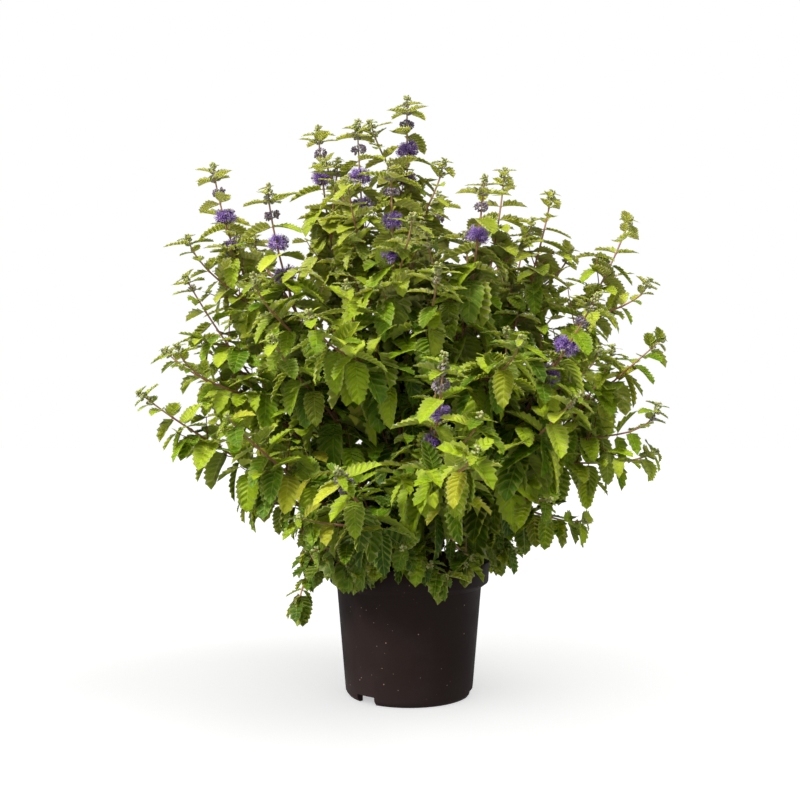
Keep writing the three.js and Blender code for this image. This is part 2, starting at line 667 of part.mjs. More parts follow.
// The axis of every shoot. A branch starts inside the stem it grows on.
const stems = [];
for (const shoot of SHOOTS) {
  const parent = stems.find((stem) => stem.shoot.name === shoot.on);
  let start = rootPoint(shoot);
  const startDirection = new THREE.Vector3(...shoot.tip);
  if (parent) {
    const place = Math.round(shoot.at * (parent.axis.line.length - 1));
    start = parent.axis.line[place].clone();
    const follow = axisDirection(parent.axis.line, place);
    startDirection.sub(start).normalize().addScaledVector(follow, BRANCH_FOLLOW);
  } else {
    startDirection.sub(start).normalize().addScaledVector(UP, ROOT_RISE);
  }
  startDirection.normalize();
  const stem = {
    shoot,
    index: stems.length + 1,
    axis: stemAxis(shoot, start, startDirection, !parent),
    reference: new THREE.Vector3(shoot.tip[1], -shoot.tip[0], 0).normalize(),
    footRadius: parent ? BRANCH_FOOT_RADIUS : STEM_FOOT_RADIUS,
    leaves: [],
  };
  stem.base = parent ? parent.base : stem;
  stems.push(stem);
}

// The whorls of flowers, from the second joint down.
const whorls = [];
for (const stem of stems) {
  const { points } = stem.axis;
  for (let w = 0; w < stem.shoot.whorls; w += 1) {
    const n = w + 2;
    const distance = jointDistance(n) - WHORL_RISE;
    const center = pointFromTip(points, distance);
    const above = pointFromTip(points, distance - WHORL_REACH_STEP);
    const along = above.sub(pointFromTip(points, distance + WHORL_REACH_STEP)).normalize();
    const [side, across] = crossDirections(along, stem.reference);
    const angle = (45 + 90 * (n % 2)) * DEG;
    const leafSide = side.multiplyScalar(Math.cos(angle)).addScaledVector(across, Math.sin(angle));
    const radius = stemRadius(stem, 1 - distance / lineLength(points));
    const grown = (w === 0 ? WHORL_TOP_SIZE : 1) * (1 + WHORL_SCATTER * scatter(stem.index, n));
    whorls.push(whorlSolid(center, along, leafSide, radius, WHORL_RADIUS * grown));
  }
}

const pot = potSolid();
let soil = soilSolid();
take(pot);
take(soil);
stems.forEach((stem) => take(stemSolid(stem, [])));
whorls.forEach(take);

// Leaves: each takes the first attitude in which it has room, and is left out if it has
// none.
for (const stem of stems) {
  for (const joint of stem.axis.joints) {
    for (const hand of [0, 1]) {
      const leaf = LEAF_ATTITUDES.map((attitude) => leafAt(stem, joint, hand, attitude)).find(
        (candidate) => !runsInto(leafTestSolid(candidate), taken),
      );
      if (leaf) {
        stem.leaves.push(leaf);
        take(leafTestSolid(leaf));
      }
    }
  }
}

const plant = new THREE.Group();
plant.name = 'potted_bluebeard';

// Every shoot with its branches is one piece that stands in its own hole in the soil.
const bases = stems.filter((stem) => stem.base === stem);
bases.forEach((base, i) => {
  const solids = stems.filter((stem) => stem.base === base).map((stem) => stemSolid(stem, stem.leaves));
  const name = `shoot_${String(i + 1).padStart(2, '0')}`;
  plant.add(meshFromSolid(wasm.Manifold.union(solids), name, leafMaterial));
  soil = soil.subtract(stemHole(base));
});
plant.add(meshFromSolid(pot, 'pot', potMaterial));
plant.add(meshFromSolid(soil, 'soil', soilMaterial));
whorls.forEach((whorl, i) => {
  plant.add(meshFromSolid(whorl, `bloom_${String(i + 1).padStart(2, '0')}`, bloomMaterial));
});

export default plant;
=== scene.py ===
# A bluebeard bush in a round nursery pot: a matt black plastic pot, crumbly soil, leafy shoots
# with toothed leaves and small grey-green buds, and whorls of fuzzy violet flowers.
# Metres, +Z up. The pot stands on z = 0 around the Z axis and its front faces -Y.
import json
import math
import random

import bpy
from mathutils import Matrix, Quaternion, Vector, noise
from mathutils.kdtree import KDTree

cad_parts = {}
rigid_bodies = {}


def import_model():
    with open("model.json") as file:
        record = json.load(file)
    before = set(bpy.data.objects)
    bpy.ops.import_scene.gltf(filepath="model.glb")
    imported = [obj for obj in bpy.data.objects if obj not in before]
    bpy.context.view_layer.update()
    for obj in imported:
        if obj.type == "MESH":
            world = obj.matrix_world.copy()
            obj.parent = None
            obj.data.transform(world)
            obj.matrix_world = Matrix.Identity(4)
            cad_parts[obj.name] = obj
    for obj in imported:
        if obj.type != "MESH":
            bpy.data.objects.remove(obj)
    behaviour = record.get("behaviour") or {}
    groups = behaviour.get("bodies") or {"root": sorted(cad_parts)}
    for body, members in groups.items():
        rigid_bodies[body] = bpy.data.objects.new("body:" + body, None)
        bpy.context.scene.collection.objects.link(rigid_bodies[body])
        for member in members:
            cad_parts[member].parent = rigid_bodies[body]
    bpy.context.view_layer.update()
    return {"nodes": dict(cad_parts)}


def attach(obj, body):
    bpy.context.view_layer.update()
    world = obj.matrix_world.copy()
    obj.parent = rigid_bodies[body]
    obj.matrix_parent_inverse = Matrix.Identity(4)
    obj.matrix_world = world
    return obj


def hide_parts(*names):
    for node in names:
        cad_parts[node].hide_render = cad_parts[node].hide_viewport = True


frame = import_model()
scene = bpy.context.scene
MM = 0.001
UP = Vector((0, 0, 1))


# The camera stands in front of the pot at the height of the leaves' middle, level but for a
# slight upward tilt, with a standard lens.
CAMERA_PLACE = (-0.0107, -1.188, 0.308)
CAMERA_TILT = 91.72
CAMERA_LENS = 45
CAMERA_SENSOR = 36

camera = bpy.data.objects.new("camera", bpy.data.cameras.new("camera"))
camera.location = CAMERA_PLACE
camera.rotation_euler = (math.radians(CAMERA_TILT), 0, 0)
camera.data.lens = CAMERA_LENS
camera.data.sensor_width = CAMERA_SENSOR
scene.collection.objects.link(camera)
scene.camera = camera


# The nursery pot is thin injection-moulded plastic, black-brown and matt, with a wide band
# at the rim, a rounded foot and three water notches. Fine dust clings to the wall.
POT_STEPS = 112
POT_PROFILE = [
    (0, 9.5), (40, 9.5), (65.2, 9.5), (66, 8.7), (66, 0.8), (66.7, 0), (70.2, 0), (71.2, 0.4),
    (73.9, 3.9), (74.6, 5.4), (79.8, 65), (84.9, 123.8), (85.6, 125.2), (92.6, 130.2),
    (93.4, 131.6), (94.2, 143), (95, 153.6), (94.6, 154.7), (93.8, 155), (92.9, 154.8),
    (92.4, 153.8), (91.5, 133.2), (90.9, 132.2), (84, 127.2), (83.1, 126.1), (72.9, 13),
    (71.6, 12), (40, 12), (0, 12),
]
NOTCH_AZIMUTHS = (-132, -12, 108)
NOTCH_SIZE = (0.030, 0.026, 0.019)
FOOT_RADIUS = 0.071
POT_SHARP_ANGLE = 38
MERGE_GAP = 0.00002
POT_COLOUR = (36, 26, 24)
POT_WORN_COLOUR = (47, 37, 36)
POT_GRAIN_DEPTH = 0.00012
WALL_WEAR = 0.35
FOOT_WEAR = 0.5
FOOT_WEAR_HEIGHT = 0.05
DUST_COLOUR = (176, 140, 120)
DUST_STRENGTH = 0.85
DUST_GRAINS = (
    # spacing, size as a share of it, share of the places that hold a grain
    (0.006, 0.1, 0.4),
    (0.013, 0.07, 0.7),
)


def shade(*screen_colour):
    """A colour given as it looks on a screen, 0 to 255, as the linear value that a shader takes."""
    parts = [part / 255 for part in screen_colour]
    return [part / 12.92 if part < 0.043 else ((part + 0.055) / 1.055) ** 2.4 for part in parts] + [1]


def add_node(tree, kind, inputs=None, **settings):
    """A shader node with its settings made, and its inputs linked or given a value."""
    made = tree.nodes.new(kind)
    for name, value in settings.items():
        setattr(made, name, value)
    for socket, value in (inputs or {}).items():
        if isinstance(value, bpy.types.NodeSocket):
            tree.links.new(value, made.inputs[socket])
        else:
            made.inputs[socket].default_value = value
    return made


def calc(tree, operation, first, second=0.0, third=0.0):
    """The result of a sum on two or three numbers."""
    return add_node(tree, "ShaderNodeMath", {0: first, 1: second, 2: third}, operation=operation).outputs[0]


def ease(tree, value, low, high, start=0.0, end=1.0):
    """A number led smoothly from start to end as value goes from low to high."""
    inputs = {"Value": value, "From Min": low, "From Max": high, "To Min": start, "To Max": end}
    return add_node(tree, "ShaderNodeMapRange", inputs, interpolation_type="SMOOTHSTEP").outputs["Result"]


def blend_colour(tree, share, first, second, most=1):
    """Two colours mixed by a share, of which so much counts at most."""
    if most < 1:
        share = calc(tree, "MULTIPLY", share, most)
    inputs = {"Factor": share, "A": first, "B": second}
    return add_node(tree, "ShaderNodeMix", inputs, data_type="RGBA").outputs["Result"]


def speckle(tree, place, size, detail=3.0):
    """A cloudy number from 0 to 1 whose lumps are about as wide as size, in metres."""
    inputs = {"Vector": place, "Scale": 1 / size, "Detail": detail, "Roughness": 0.6}
    return add_node(tree, "ShaderNodeTexNoise", inputs).outputs["Fac"]


def start_material(name, roughness, gloss=0.3):
    """A new material: its node tree, its shader and its Object coordinates."""
    material = bpy.data.materials.new(name)
    material.use_nodes = True
    tree = material.node_tree
    shader = tree.nodes["Principled BSDF"]
    shader.inputs["Roughness"].default_value = roughness
    shader.inputs["Specular IOR Level"].default_value = gloss
    place = add_node(tree, "ShaderNodeTexCoord").outputs["Object"]
    return material, tree, shader, place


def set_surface(tree, shader, colour, height, depth, strength=1.0):
    """Gives a material its colour, and a height that stands out by depth, in metres."""
    inputs = {"Height": height, "Distance": depth, "Strength": strength}
    tree.links.new(add_node(tree, "ShaderNodeBump", inputs).outputs["Normal"], shader.inputs["Normal"])
    tree.links.new(colour, shader.inputs["Base Color"])


def finish_piece(piece, node):
    """Puts a finished piece in its place: on the one body, instead of a node."""
    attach(piece, "root")
    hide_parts(node)


bpy.ops.object.select_all(action="DESELECT")
bpy.ops.mesh.primitive_circle_add(vertices=len(POT_PROFILE))
pot = bpy.context.object
pot.name = "nursery_pot"
for corner, (radius, height) in zip(pot.data.vertices, POT_PROFILE):
    corner.co = (radius * MM, 0, height * MM)
bpy.ops.object.mode_set(mode="EDIT")
bpy.ops.mesh.spin(steps=POT_STEPS, angle=2 * math.pi, center=(0, 0, 0), axis=(0, 0, 1))
bpy.ops.mesh.select_all(action="SELECT")
bpy.ops.mesh.remove_doubles(threshold=MERGE_GAP)
bpy.ops.mesh.normals_make_consistent(inside=False)
bpy.ops.object.mode_set(mode="OBJECT")
for azimuth in NOTCH_AZIMUTHS:
    turn = math.radians(azimuth)
    bpy.ops.mesh.primitive_cube_add(
        size=1,
        location=(FOOT_RADIUS * math.cos(turn), FOOT_RADIUS * math.sin(turn), 0),
        rotation=(0, 0, turn),
        scale=NOTCH_SIZE,
    )
    notch = bpy.context.object
    bpy.context.view_layer.objects.active = pot
    cut = pot.modifiers.new("notch", "BOOLEAN")
    cut.object = notch
    cut.solver = "EXACT"
    bpy.ops.object.modifier_apply(modifier=cut.name)
    bpy.data.objects.remove(notch)
bpy.ops.object.select_all(action="DESELECT")
pot.select_set(True)
bpy.context.view_layer.objects.active = pot
bpy.ops.object.shade_smooth_by_angle(angle=math.radians(POT_SHARP_ANGLE))

plastic, tree, shader, place = start_material("pot_plastic", 0.6, 0.08)
clouds = speckle(tree, place, 0.05)
grain = speckle(tree, place, 0.0011, 2.0)
height = add_node(tree, "ShaderNodeSeparateXYZ", {"Vector": place}).outputs["Z"]
low_wear = calc(tree, "MULTIPLY", ease(tree, height, FOOT_WEAR_HEIGHT, 0.0), FOOT_WEAR)
wear = calc(tree, "MULTIPLY_ADD", ease(tree, clouds, 0.45, 0.75), WALL_WEAR, low_wear)
colour = blend_colour(tree, wear, shade(*POT_COLOUR), shade(*POT_WORN_COLOUR))
for spacing, size, amount in DUST_GRAINS:
    grains = add_node(tree, "ShaderNodeTexVoronoi", {"Vector": place, "Scale": 1 / spacing})
    chosen = add_node(tree, "ShaderNodeSeparateColor", {"Color": grains.outputs["Color"]}).outputs["Red"]
    dot = ease(tree, grains.outputs["Distance"], size, 0.5 * size)
    dust = calc(tree, "MULTIPLY", dot, ease(tree, chosen, 1 - amount, 1))
    colour = blend_colour(tree, dust, colour, shade(*DUST_COLOUR), DUST_STRENGTH)
tree.links.new(ease(tree, clouds, 0.3, 0.7, 0.5, 0.64), shader.inputs["Roughness"])
set_surface(tree, shader, colour, grain, POT_GRAIN_DEPTH, 0.6)
pot.data.materials.append(plastic)
finish_piece(pot, "pot")


# The soil is dark peat with coarse crumbs and bits of bark, filled up to just under the rim
# and settled in loose lumps. It stands free of the pot wall by a hair.
SOIL_RINGS = 34
SOIL_STEPS = 72
SOIL_RADIUS = 0.0904
SOIL_EDGE_HEIGHT = 0.136
SOIL_MIDDLE_RISE = 0.007
SOIL_SIDE = ((90.4, 133.5), (82.2, 126.6), (72.0, 12.8))
CRUMB_COUNT = 520
CRUMB_RADIUS = (0.0009, 0.0030)
CRUMB_STRETCH = ((0.7, 1.7), (0.5, 1.0), (0.4, 0.8))
PEAT_COLOURS = ((22, 14, 9), (84, 62, 44))
PEAT_RELIEF = 0.0012
BARK_BIT_COLOUR = (132, 104, 76)
BARK_BIT_SHARE = 0.35
BARK_BITS_TO_THE_METRE = 420
SOIL_LUMPS = (
    # how many to the metre, height
    (55, 0.0022),
    (240, 0.0011),
)

chance = random.Random(11)


def soil_height(x, y):
    """The height of the lumpy soil at a place."""
    reach = math.hypot(x, y) / SOIL_RADIUS
    lumps = 0
    for i, (count, height) in enumerate(SOIL_LUMPS):
        lumps += noise.noise(Vector((x, y, 4 * i)) * count) * height
    return SOIL_EDGE_HEIGHT + SOIL_MIDDLE_RISE * (1 - reach * reach) + lumps * min(1, 4 - 4 * reach)


bpy.ops.object.select_all(action="DESELECT")
bpy.ops.mesh.primitive_circle_add(vertices=SOIL_STEPS, radius=SOIL_RADIUS, fill_type="NGON")
soil = bpy.context.object
soil.name = "potting_soil"
bpy.ops.object.mode_set(mode="EDIT")
bpy.ops.mesh.select_all(action="SELECT")
for ring in range(SOIL_RINGS):
    bpy.ops.mesh.inset(thickness=SOIL_RADIUS / (SOIL_RINGS + 1), depth=0)
bpy.ops.mesh.poke()
bpy.ops.object.mode_set(mode="OBJECT")
for corner in soil.data.vertices:
    corner.co.z = soil_height(corner.co.x, corner.co.y)
bpy.ops.object.mode_set(mode="EDIT")
bpy.ops.mesh.select_all(action="SELECT")
bpy.ops.mesh.region_to_loop()
for radius, height in SOIL_SIDE:
    bpy.ops.mesh.extrude_region_move()
    bpy.ops.object.mode_set(mode="OBJECT")
    for corner in soil.data.vertices:
        if corner.select:
            share = radius * MM / math.hypot(corner.co.x, corner.co.y)
            corner.co = (corner.co.x * share, corner.co.y * share, height * MM)
    bpy.ops.object.mode_set(mode="EDIT")
bpy.ops.mesh.edge_face_add()
bpy.ops.mesh.select_all(action="DESELECT")
for crumb in range(CRUMB_COUNT):
    reach = SOIL_RADIUS * 0.96 * math.sqrt(chance.random())
    turn = chance.uniform(0, 2 * math.pi)
    x, y = reach * math.cos(turn), reach * math.sin(turn)
    size = chance.uniform(*CRUMB_RADIUS)
    bpy.ops.mesh.primitive_ico_sphere_add(
        subdivisions=1,
        radius=size,
        location=(x, y, soil_height(x, y) + 0.3 * size),
        rotation=[chance.uniform(0, 3) for _ in range(3)],
        scale=[chance.uniform(*ends) for ends in CRUMB_STRETCH],
    )
bpy.ops.object.mode_set(mode="OBJECT")

peat, tree, shader, place = start_material("peat", 0.95)
lumps = speckle(tree, place, 0.006, 5.0)
bits = add_node(tree, "ShaderNodeTexVoronoi", {"Vector": place, "Scale": BARK_BITS_TO_THE_METRE})
colour = blend_colour(tree, lumps, *[shade(*peat_colour) for peat_colour in PEAT_COLOURS])
light_bit = ease(tree, bits.outputs["Distance"], 0.22, 0.12)
colour = blend_colour(tree, light_bit, colour, shade(*BARK_BIT_COLOUR), BARK_BIT_SHARE)
set_surface(tree, shader, colour, lumps, PEAT_RELIEF)
soil.data.materials.append(peat)
finish_piece(soil, "soil")


# The shoots rise out of the soil from a tight middle and fan out, each on a smooth line from
# its root to its tip. Woody red-brown at the foot, darkened there with painted shade, and green
# at the tip, they carry opposite leaves at joints that lie closer together toward the tip.
SHOOTS = [
    # name, grows on, at, tip, lean at the tip, joints, largest leaf, flower whorls
    ("a", "", 0, (-237, 10, 630), 8, 8, 56, 3),
    ("b", "", 0, (-162, -60, 588), 6, 8, 60, 3),
    ("b2", "b", 0.36, (-150, -120, 410), 34, 4, 66, 0),
    ("c", "", 0, (-114, 60, 691), 4, 8, 60, 2),
    ("d", "c", 0.45, (-88, 150, 640), 8, 6, 54, 1),
    ("e", "", 0, (-62, 0, 680), 2, 8, 62, 3),
    ("e2", "e", 0.34, (-70, -112, 470), 16, 4, 68, 0),
    ("f", "", 0, (-2, 40, 722), 2, 8, 62, 3),
    ("f2", "f", 0.3, (30, -130, 486), 16, 4, 66, 0),
    ("g", "", 0, (-21, -90, 608), 4, 8, 68, 3),
    ("g2", "g", 0.42, (-104, -180, 430), 24, 5, 68, 0),
    ("h", "", 0, (86, -60, 598), 6, 8, 66, 2),
    ("h2", "h", 0.4, (112, -186, 404), 26, 5, 66, 0),
    ("i", "", 0, (120, 46, 634), 6, 8, 58, 0),
    ("j", "", 0, (176, 30, 602), 10, 8, 56, 0),
    ("j2", "j", 0.34, (180, -50, 404), 30, 4, 64, 0),
    ("k", "", 0, (270, 20, 568), 20, 8, 52, 0),
    ("k2", "k", 0.42, (236, 50, 420), 34, 4, 60, 0),
    ("l", "", 0, (300, -20, 418), 48, 7, 60, 0),
    ("l2", "l", 0.36, (286, -40, 284), 62, 5, 52, 0),
    ("l3", "l", 0.2, (200, -60, 206), 78, 3, 60, 0),
    ("m", "", 0, (205, -110, 457), 30, 7, 64, 3),
    ("m2", "m", 0.24, (150, -126, 236), 70, 3, 64, 0),
    ("n", "", 0, (179, -150, 347), 50, 5, 70, 0),
    ("o", "", 0, (32, -225, 384), 18, 7, 60, 3),
    ("o2", "o", 0.36, (60, -273, 292), 52, 4, 58, 0),
    ("p", "", 0, (-72, -232, 272), 52, 4, 58, 1),
    ("p2", "p", 0.3, (-118, -150, 218), 70, 3, 60, 0),
    ("q", "", 0, (-262, -30, 489), 28, 7, 54, 0),
    ("q2", "q", 0.46, (-290, -14, 404), 44, 4, 50, 0),
    ("r", "", 0, (-306, -66, 352), 50, 5, 52, 0),
    ("r2", "r", 0.28, (-196, -30, 226), 74, 3, 58, 0),
    ("r3", "r", 0.14, (-128, -58, 108), 150, 3, 46, 0),
    ("s", "", 0, (-194, -140, 324), 44, 5, 58, 0),
    ("t", "", 0, (-104, -104, 178), 92, 2, 50, 0),
    ("u", "", 0, (-8, -150, 186), 88, 2, 58, 0),
    ("v", "", 0, (-206, 140, 552), 14, 7, 56, 1),
    ("v2", "v", 0.34, (-256, 116, 320), 52, 5, 56, 0),
    ("w", "", 0, (40, 120, 622), 6, 7, 60, 1),
    ("w2", "w", 0.3, (52, 190, 410), 30, 4, 62, 0),
    ("x", "", 0, (158, 150, 572), 14, 7, 58, 0),
    ("x2", "x", 0.36, (170, 130, 390), 34, 4, 62, 0),
    ("y", "", 0, (250, 140, 460), 34, 7, 56, 0),
    ("y2", "y", 0.3, (190, 196, 250), 66, 4, 56, 0),
    ("z", "", 0, (-20, 240, 540), 22, 7, 62, 1),
    ("z2", "z", 0.34, (-14, 276, 322), 50, 4, 60, 0),
    ("aa", "", 0, (-150, 246, 430), 32, 5, 60, 1),
    ("aa2", "aa", 0.26, (-120, 176, 226), 74, 3, 60, 0),
    ("bb", "", 0, (130, 252, 420), 34, 5, 62, 0),
    ("bb2", "bb", 0.26, (70, 196, 228), 74, 3, 60, 0),
]
ROOT_SPREAD = 58
ROOT_SHARES = (0.22, 0.5, 0.28)
TALL_TIP = 640
TIP_FALL = 420
TIP_REACH = 290
COLLAR_HEIGHT = 150
FOOT_HEIGHT = 127
LINE_STEPS = 40
LINE_PULL = 0.36
SHOOT_LEAD = 0.55
BRANCH_LEAD = 0.8
STEM_FOOT_RADIUS = 2.5
BRANCH_FOOT_RADIUS = 1.7
STEM_TIP_RADIUS = 0.9
BARE_FOOT = 25
JOINT_FIRST = 20
JOINT_GROWTH = 2.4
JOINT_HALF_HEIGHT = 0.9
JOINT_SWELLING = ((-2.6, 1.0), (-0.8, 1.28), (0.8, 1.28), (2.6, 1.0))
FLOWERING_LEAF_JOINTS = (1, 4, 5, 7)
PLAIN_LEAF_JOINTS = (1, 3, 4, 6, 7)
PLAIN_BUD_ROWS = (11, 7.5, 4)
FLOWERING_BUD_ROWS = (19, 14.5, 11, 7.5, 4)
STEM_SIDES = 6
STEM_SPACING = 16
STEM_FINISH = 0
BARK_TINT = (0.5, 0.5, 0)
BARK_LOWEST = 140
BARK_RISE = 520
GREEN_TIP = 0.95
GREEN_TIP_REACH = 260


def clamp(value):
    """A number held between 0 and 1."""
    return min(1, max(0, value))


def scatter(seed, index):
    """Repeatable scatter between -1 and 1 for the item index of the thing seed."""
    wave = math.sin(seed * 12.9898 + index * 78.233) * 43758.5453
    return 2 * (wave - math.floor(wave)) - 1


def joint_distance(n):
    """How far below the tip the joint n lies."""
    return JOINT_FIRST * n + JOINT_GROWTH * n * n


def point_from_tip(line, distance):
    """The point a distance back from the tip along a line of points."""
    left = distance
    for i in range(len(line) - 1, 0, -1):
        step = (line[i] - line[i - 1]).length
        if left <= step:
            return line[i].lerp(line[i - 1], left / step)
        left -= step
    return line[0].copy()


def line_length(line):
    """The length of a line of points."""
    return sum((after - before).length for before, after in zip(line, line[1:]))


def axis_direction(points, i):
    """The direction of a line at one of its points."""
    return (points[min(len(points) - 1, i + 1)] - points[max(0, i - 1)]).normalized()


def direction_from_tip(line, distance, reach=2):
    """The direction of a line at a distance back from its tip, taken over its reach."""
    return (point_from_tip(line, distance - reach) - point_from_tip(line, distance + reach)).normalized()


def way_around(along, reference, angle):
    """The direction square to a stem at an angle around it, counted from the reference."""
    side = (reference - along * reference.dot(along)).normalized()
    return side * math.cos(angle) + along.cross(side) * math.sin(angle)


def root_point(tip):
    """Where a shoot starts: on the soil, further out the further its tip hangs out."""
    least, by_reach, by_fall = ROOT_SHARES
    reach = math.hypot(tip.x, tip.y)
    share = least + by_reach * reach / TIP_REACH + by_fall * clamp((TALL_TIP - tip.z) / TIP_FALL)
    radius = ROOT_SPREAD * min(1, share)
    return Vector((tip.x / reach * radius, tip.y / reach * radius, COLLAR_HEIGHT))


def shoot_line(tip, lean, start, direction):
    """Even steps along the smooth curve of a shoot."""
    span = tip - start
    outward = Vector((span.x, span.y, 0)).normalized()
    end = outward * math.sin(lean) + UP * math.cos(lean)
    second = start + direction * (span.length * LINE_PULL)
    third = tip - end * (span.length * LINE_PULL)
    line = []
    for i in range(LINE_STEPS + 1):
        t = i / LINE_STEPS
        s = 1 - t
        line.append(start * s**3 + second * (3 * s * s * t) + third * (3 * s * t * t) + tip * t**3)
    return line


class PlantMesh:
    """Corners and faces of one shoot or bloom as it grows, with their finishes and tints."""

    def __init__(self):
        self.corners = []
        self.faces = []
        self.finishes = []
        self.places = []
        self.tints = []

    def add(self, corners, faces, finishes, places, tint):
        """Adds a closed shape: its corners, faces, finish of each face, surface places and tint."""
        first = len(self.corners)
        self.corners += corners
        self.faces += [[first + i for i in face] for face in faces]
        self.finishes += finishes
        self.places += places
        self.tints += [tint] * len(corners)

    def piece(self, name, materials, sharp):
        """The finished mesh as an object, in metres."""
        mesh = bpy.data.meshes.new(name)
        mesh.from_pydata([corner * MM for corner in self.corners], [], self.faces)
        made = bpy.data.objects.new(name, mesh)
        scene.collection.objects.link(made)
        for material in materials:
            mesh.materials.append(material)
        mesh.polygons.foreach_set("material_index", self.finishes)
        order = [loop.vertex_index for loop in mesh.loops]
        surface = mesh.uv_layers.new(name="surface")
        surface.data.foreach_set("uv", [part for i in order for part in self.places[i]])
        tint = mesh.color_attributes.new("tint", "FLOAT_COLOR", "POINT")
        tint.data.foreach_set("color", [part for value in self.tints for part in (*value, 1)])
        bpy.ops.object.select_all(action="DESELECT")
        made.select_set(True)
        bpy.context.view_layer.objects.active = made
        bpy.ops.object.mode_set(mode="EDIT")
        bpy.ops.mesh.select_all(action="SELECT")
        bpy.ops.mesh.normals_make_consistent(inside=False)
        bpy.ops.object.mode_set(mode="OBJECT")
        bpy.ops.object.shade_smooth_by_angle(angle=math.radians(sharp))
        return made


stems = []


class Stem:
    """A shoot or a branch of one, with its line, its joints, its leaves and its mesh."""

    def __init__(self, row):
        self.name, on, at, tip, lean, self.joint_count, self.leaf, self.whorls = row
        self.index = len(stems) + 1
        self.tip = Vector(tip)
        self.leaves = []
        self.parent = next((stem for stem in stems if stem.name == on), None)
        if self.parent:
            self.base = self.parent.base
            self.plant = self.parent.plant
            place = round(at * LINE_STEPS)
            start = self.parent.line[place].copy()
            lead = axis_direction(self.parent.line, place) * BRANCH_LEAD
            self.foot_radius = BRANCH_FOOT_RADIUS
        else:
            self.base = self
            self.plant = PlantMesh()
            start = root_point(self.tip)
            lead = UP * SHOOT_LEAD
            self.foot_radius = STEM_FOOT_RADIUS
        direction = ((self.tip - start).normalized() + lead).normalized()
        self.line = shoot_line(self.tip, math.radians(lean), start, direction)
        self.length = line_length(self.line)
        self.reference = Vector((self.tip.y, -self.tip.x, 0)).normalized()
        self.set_axis()

    def set_axis(self):
        """The corner points of the solid stem, and the direction at each joint with leaves."""
        leaf_joints = FLOWERING_LEAF_JOINTS if self.whorls else PLAIN_LEAF_JOINTS
        last_joint = self.length - BARE_FOOT
        self.joints = [n for n in range(1, self.joint_count + 1) if joint_distance(n) < last_joint]
        solid_joints = [n for n in reversed(self.joints) if n in leaf_joints]
        self.points = [] if self.parent else [Vector((self.line[0].x, self.line[0].y, FOOT_HEIGHT))]
        bare = self.length - joint_distance(solid_joints[0])
        self.points += [point_from_tip(self.line, self.length - bare * i / 2) for i in (0, 1)]
        rows = {}
        for n in solid_joints:
            rows[n] = len(self.points)
            for offset in (JOINT_HALF_HEIGHT, -JOINT_HALF_HEIGHT):
                self.points.append(point_from_tip(self.line, joint_distance(n) + offset))
        bud_rows = FLOWERING_BUD_ROWS if self.whorls else PLAIN_BUD_ROWS
        self.points += [point_from_tip(self.line, distance) for distance in bud_rows]
        self.points.append(self.line[-1].copy())
        self.joint_along = {n: axis_direction(self.points, row) for n, row in rows.items()}

    def radius(self, distance):
        """The radius of the stem at a distance from the tip."""
        return STEM_TIP_RADIUS + (self.foot_radius - STEM_TIP_RADIUS) * min(1, distance / self.length)


for shoot_row in SHOOTS:
    stems.append(Stem(shoot_row))


def add_tube(plant, line, radii, heights):
    """A closed round stem along a line of points."""
    corners = []
    places = []
    reference = Vector((line[-1].y - line[0].y, line[0].x - line[-1].x, 3)).normalized()
    for i, point in enumerate(line):
        along = axis_direction(line, i)
        for k in range(STEM_SIDES):
            corners.append(point + way_around(along, reference, 2 * math.pi * k / STEM_SIDES) * radii[i])
            places.append((k / STEM_SIDES, heights[i]))
    faces = [list(range(STEM_SIDES))]
    for i in range(len(line) - 1):
        for k in range(STEM_SIDES):
            after = (k + 1) % STEM_SIDES
            low = i * STEM_SIDES
            faces.append([low + k, low + after, low + STEM_SIDES + after, low + STEM_SIDES + k])
    faces.append([(len(line) - 1) * STEM_SIDES + k for k in range(STEM_SIDES)])
    plant.add(corners, faces, [STEM_FINISH] * len(faces), places, BARK_TINT)


def bark_height(point):
    """How far up the bush a point lies, as the bark's colour counts it."""
    return clamp((point.z - BARK_LOWEST) / BARK_RISE)


def add_stem(stem):
    """The stem itself, a little swollen at each joint."""
    distances = {0.5: 1.0, stem.length: 1.0}
    for step in range(1, int(stem.length / STEM_SPACING)):
        distances[step * STEM_SPACING] = 1.0
    for n in stem.joints:
        for offset, swelling in JOINT_SWELLING:
            distances[joint_distance(n) + offset] = swelling
    ordered = sorted(distances, reverse=True)
    line = [point_from_tip(stem.line, distance) for distance in ordered]
    radii = [stem.radius(distance) * distances[distance] for distance in ordered]
    if not stem.parent:
        line.insert(0, Vector((line[0].x, line[0].y, FOOT_HEIGHT)))
        radii.insert(0, stem.foot_radius)
    tip = line[-1]
    heights = [max(bark_height(point), GREEN_TIP - (tip - point).length / GREEN_TIP_REACH) for point in line]
    add_tube(stem.plant, line, radii, heights)


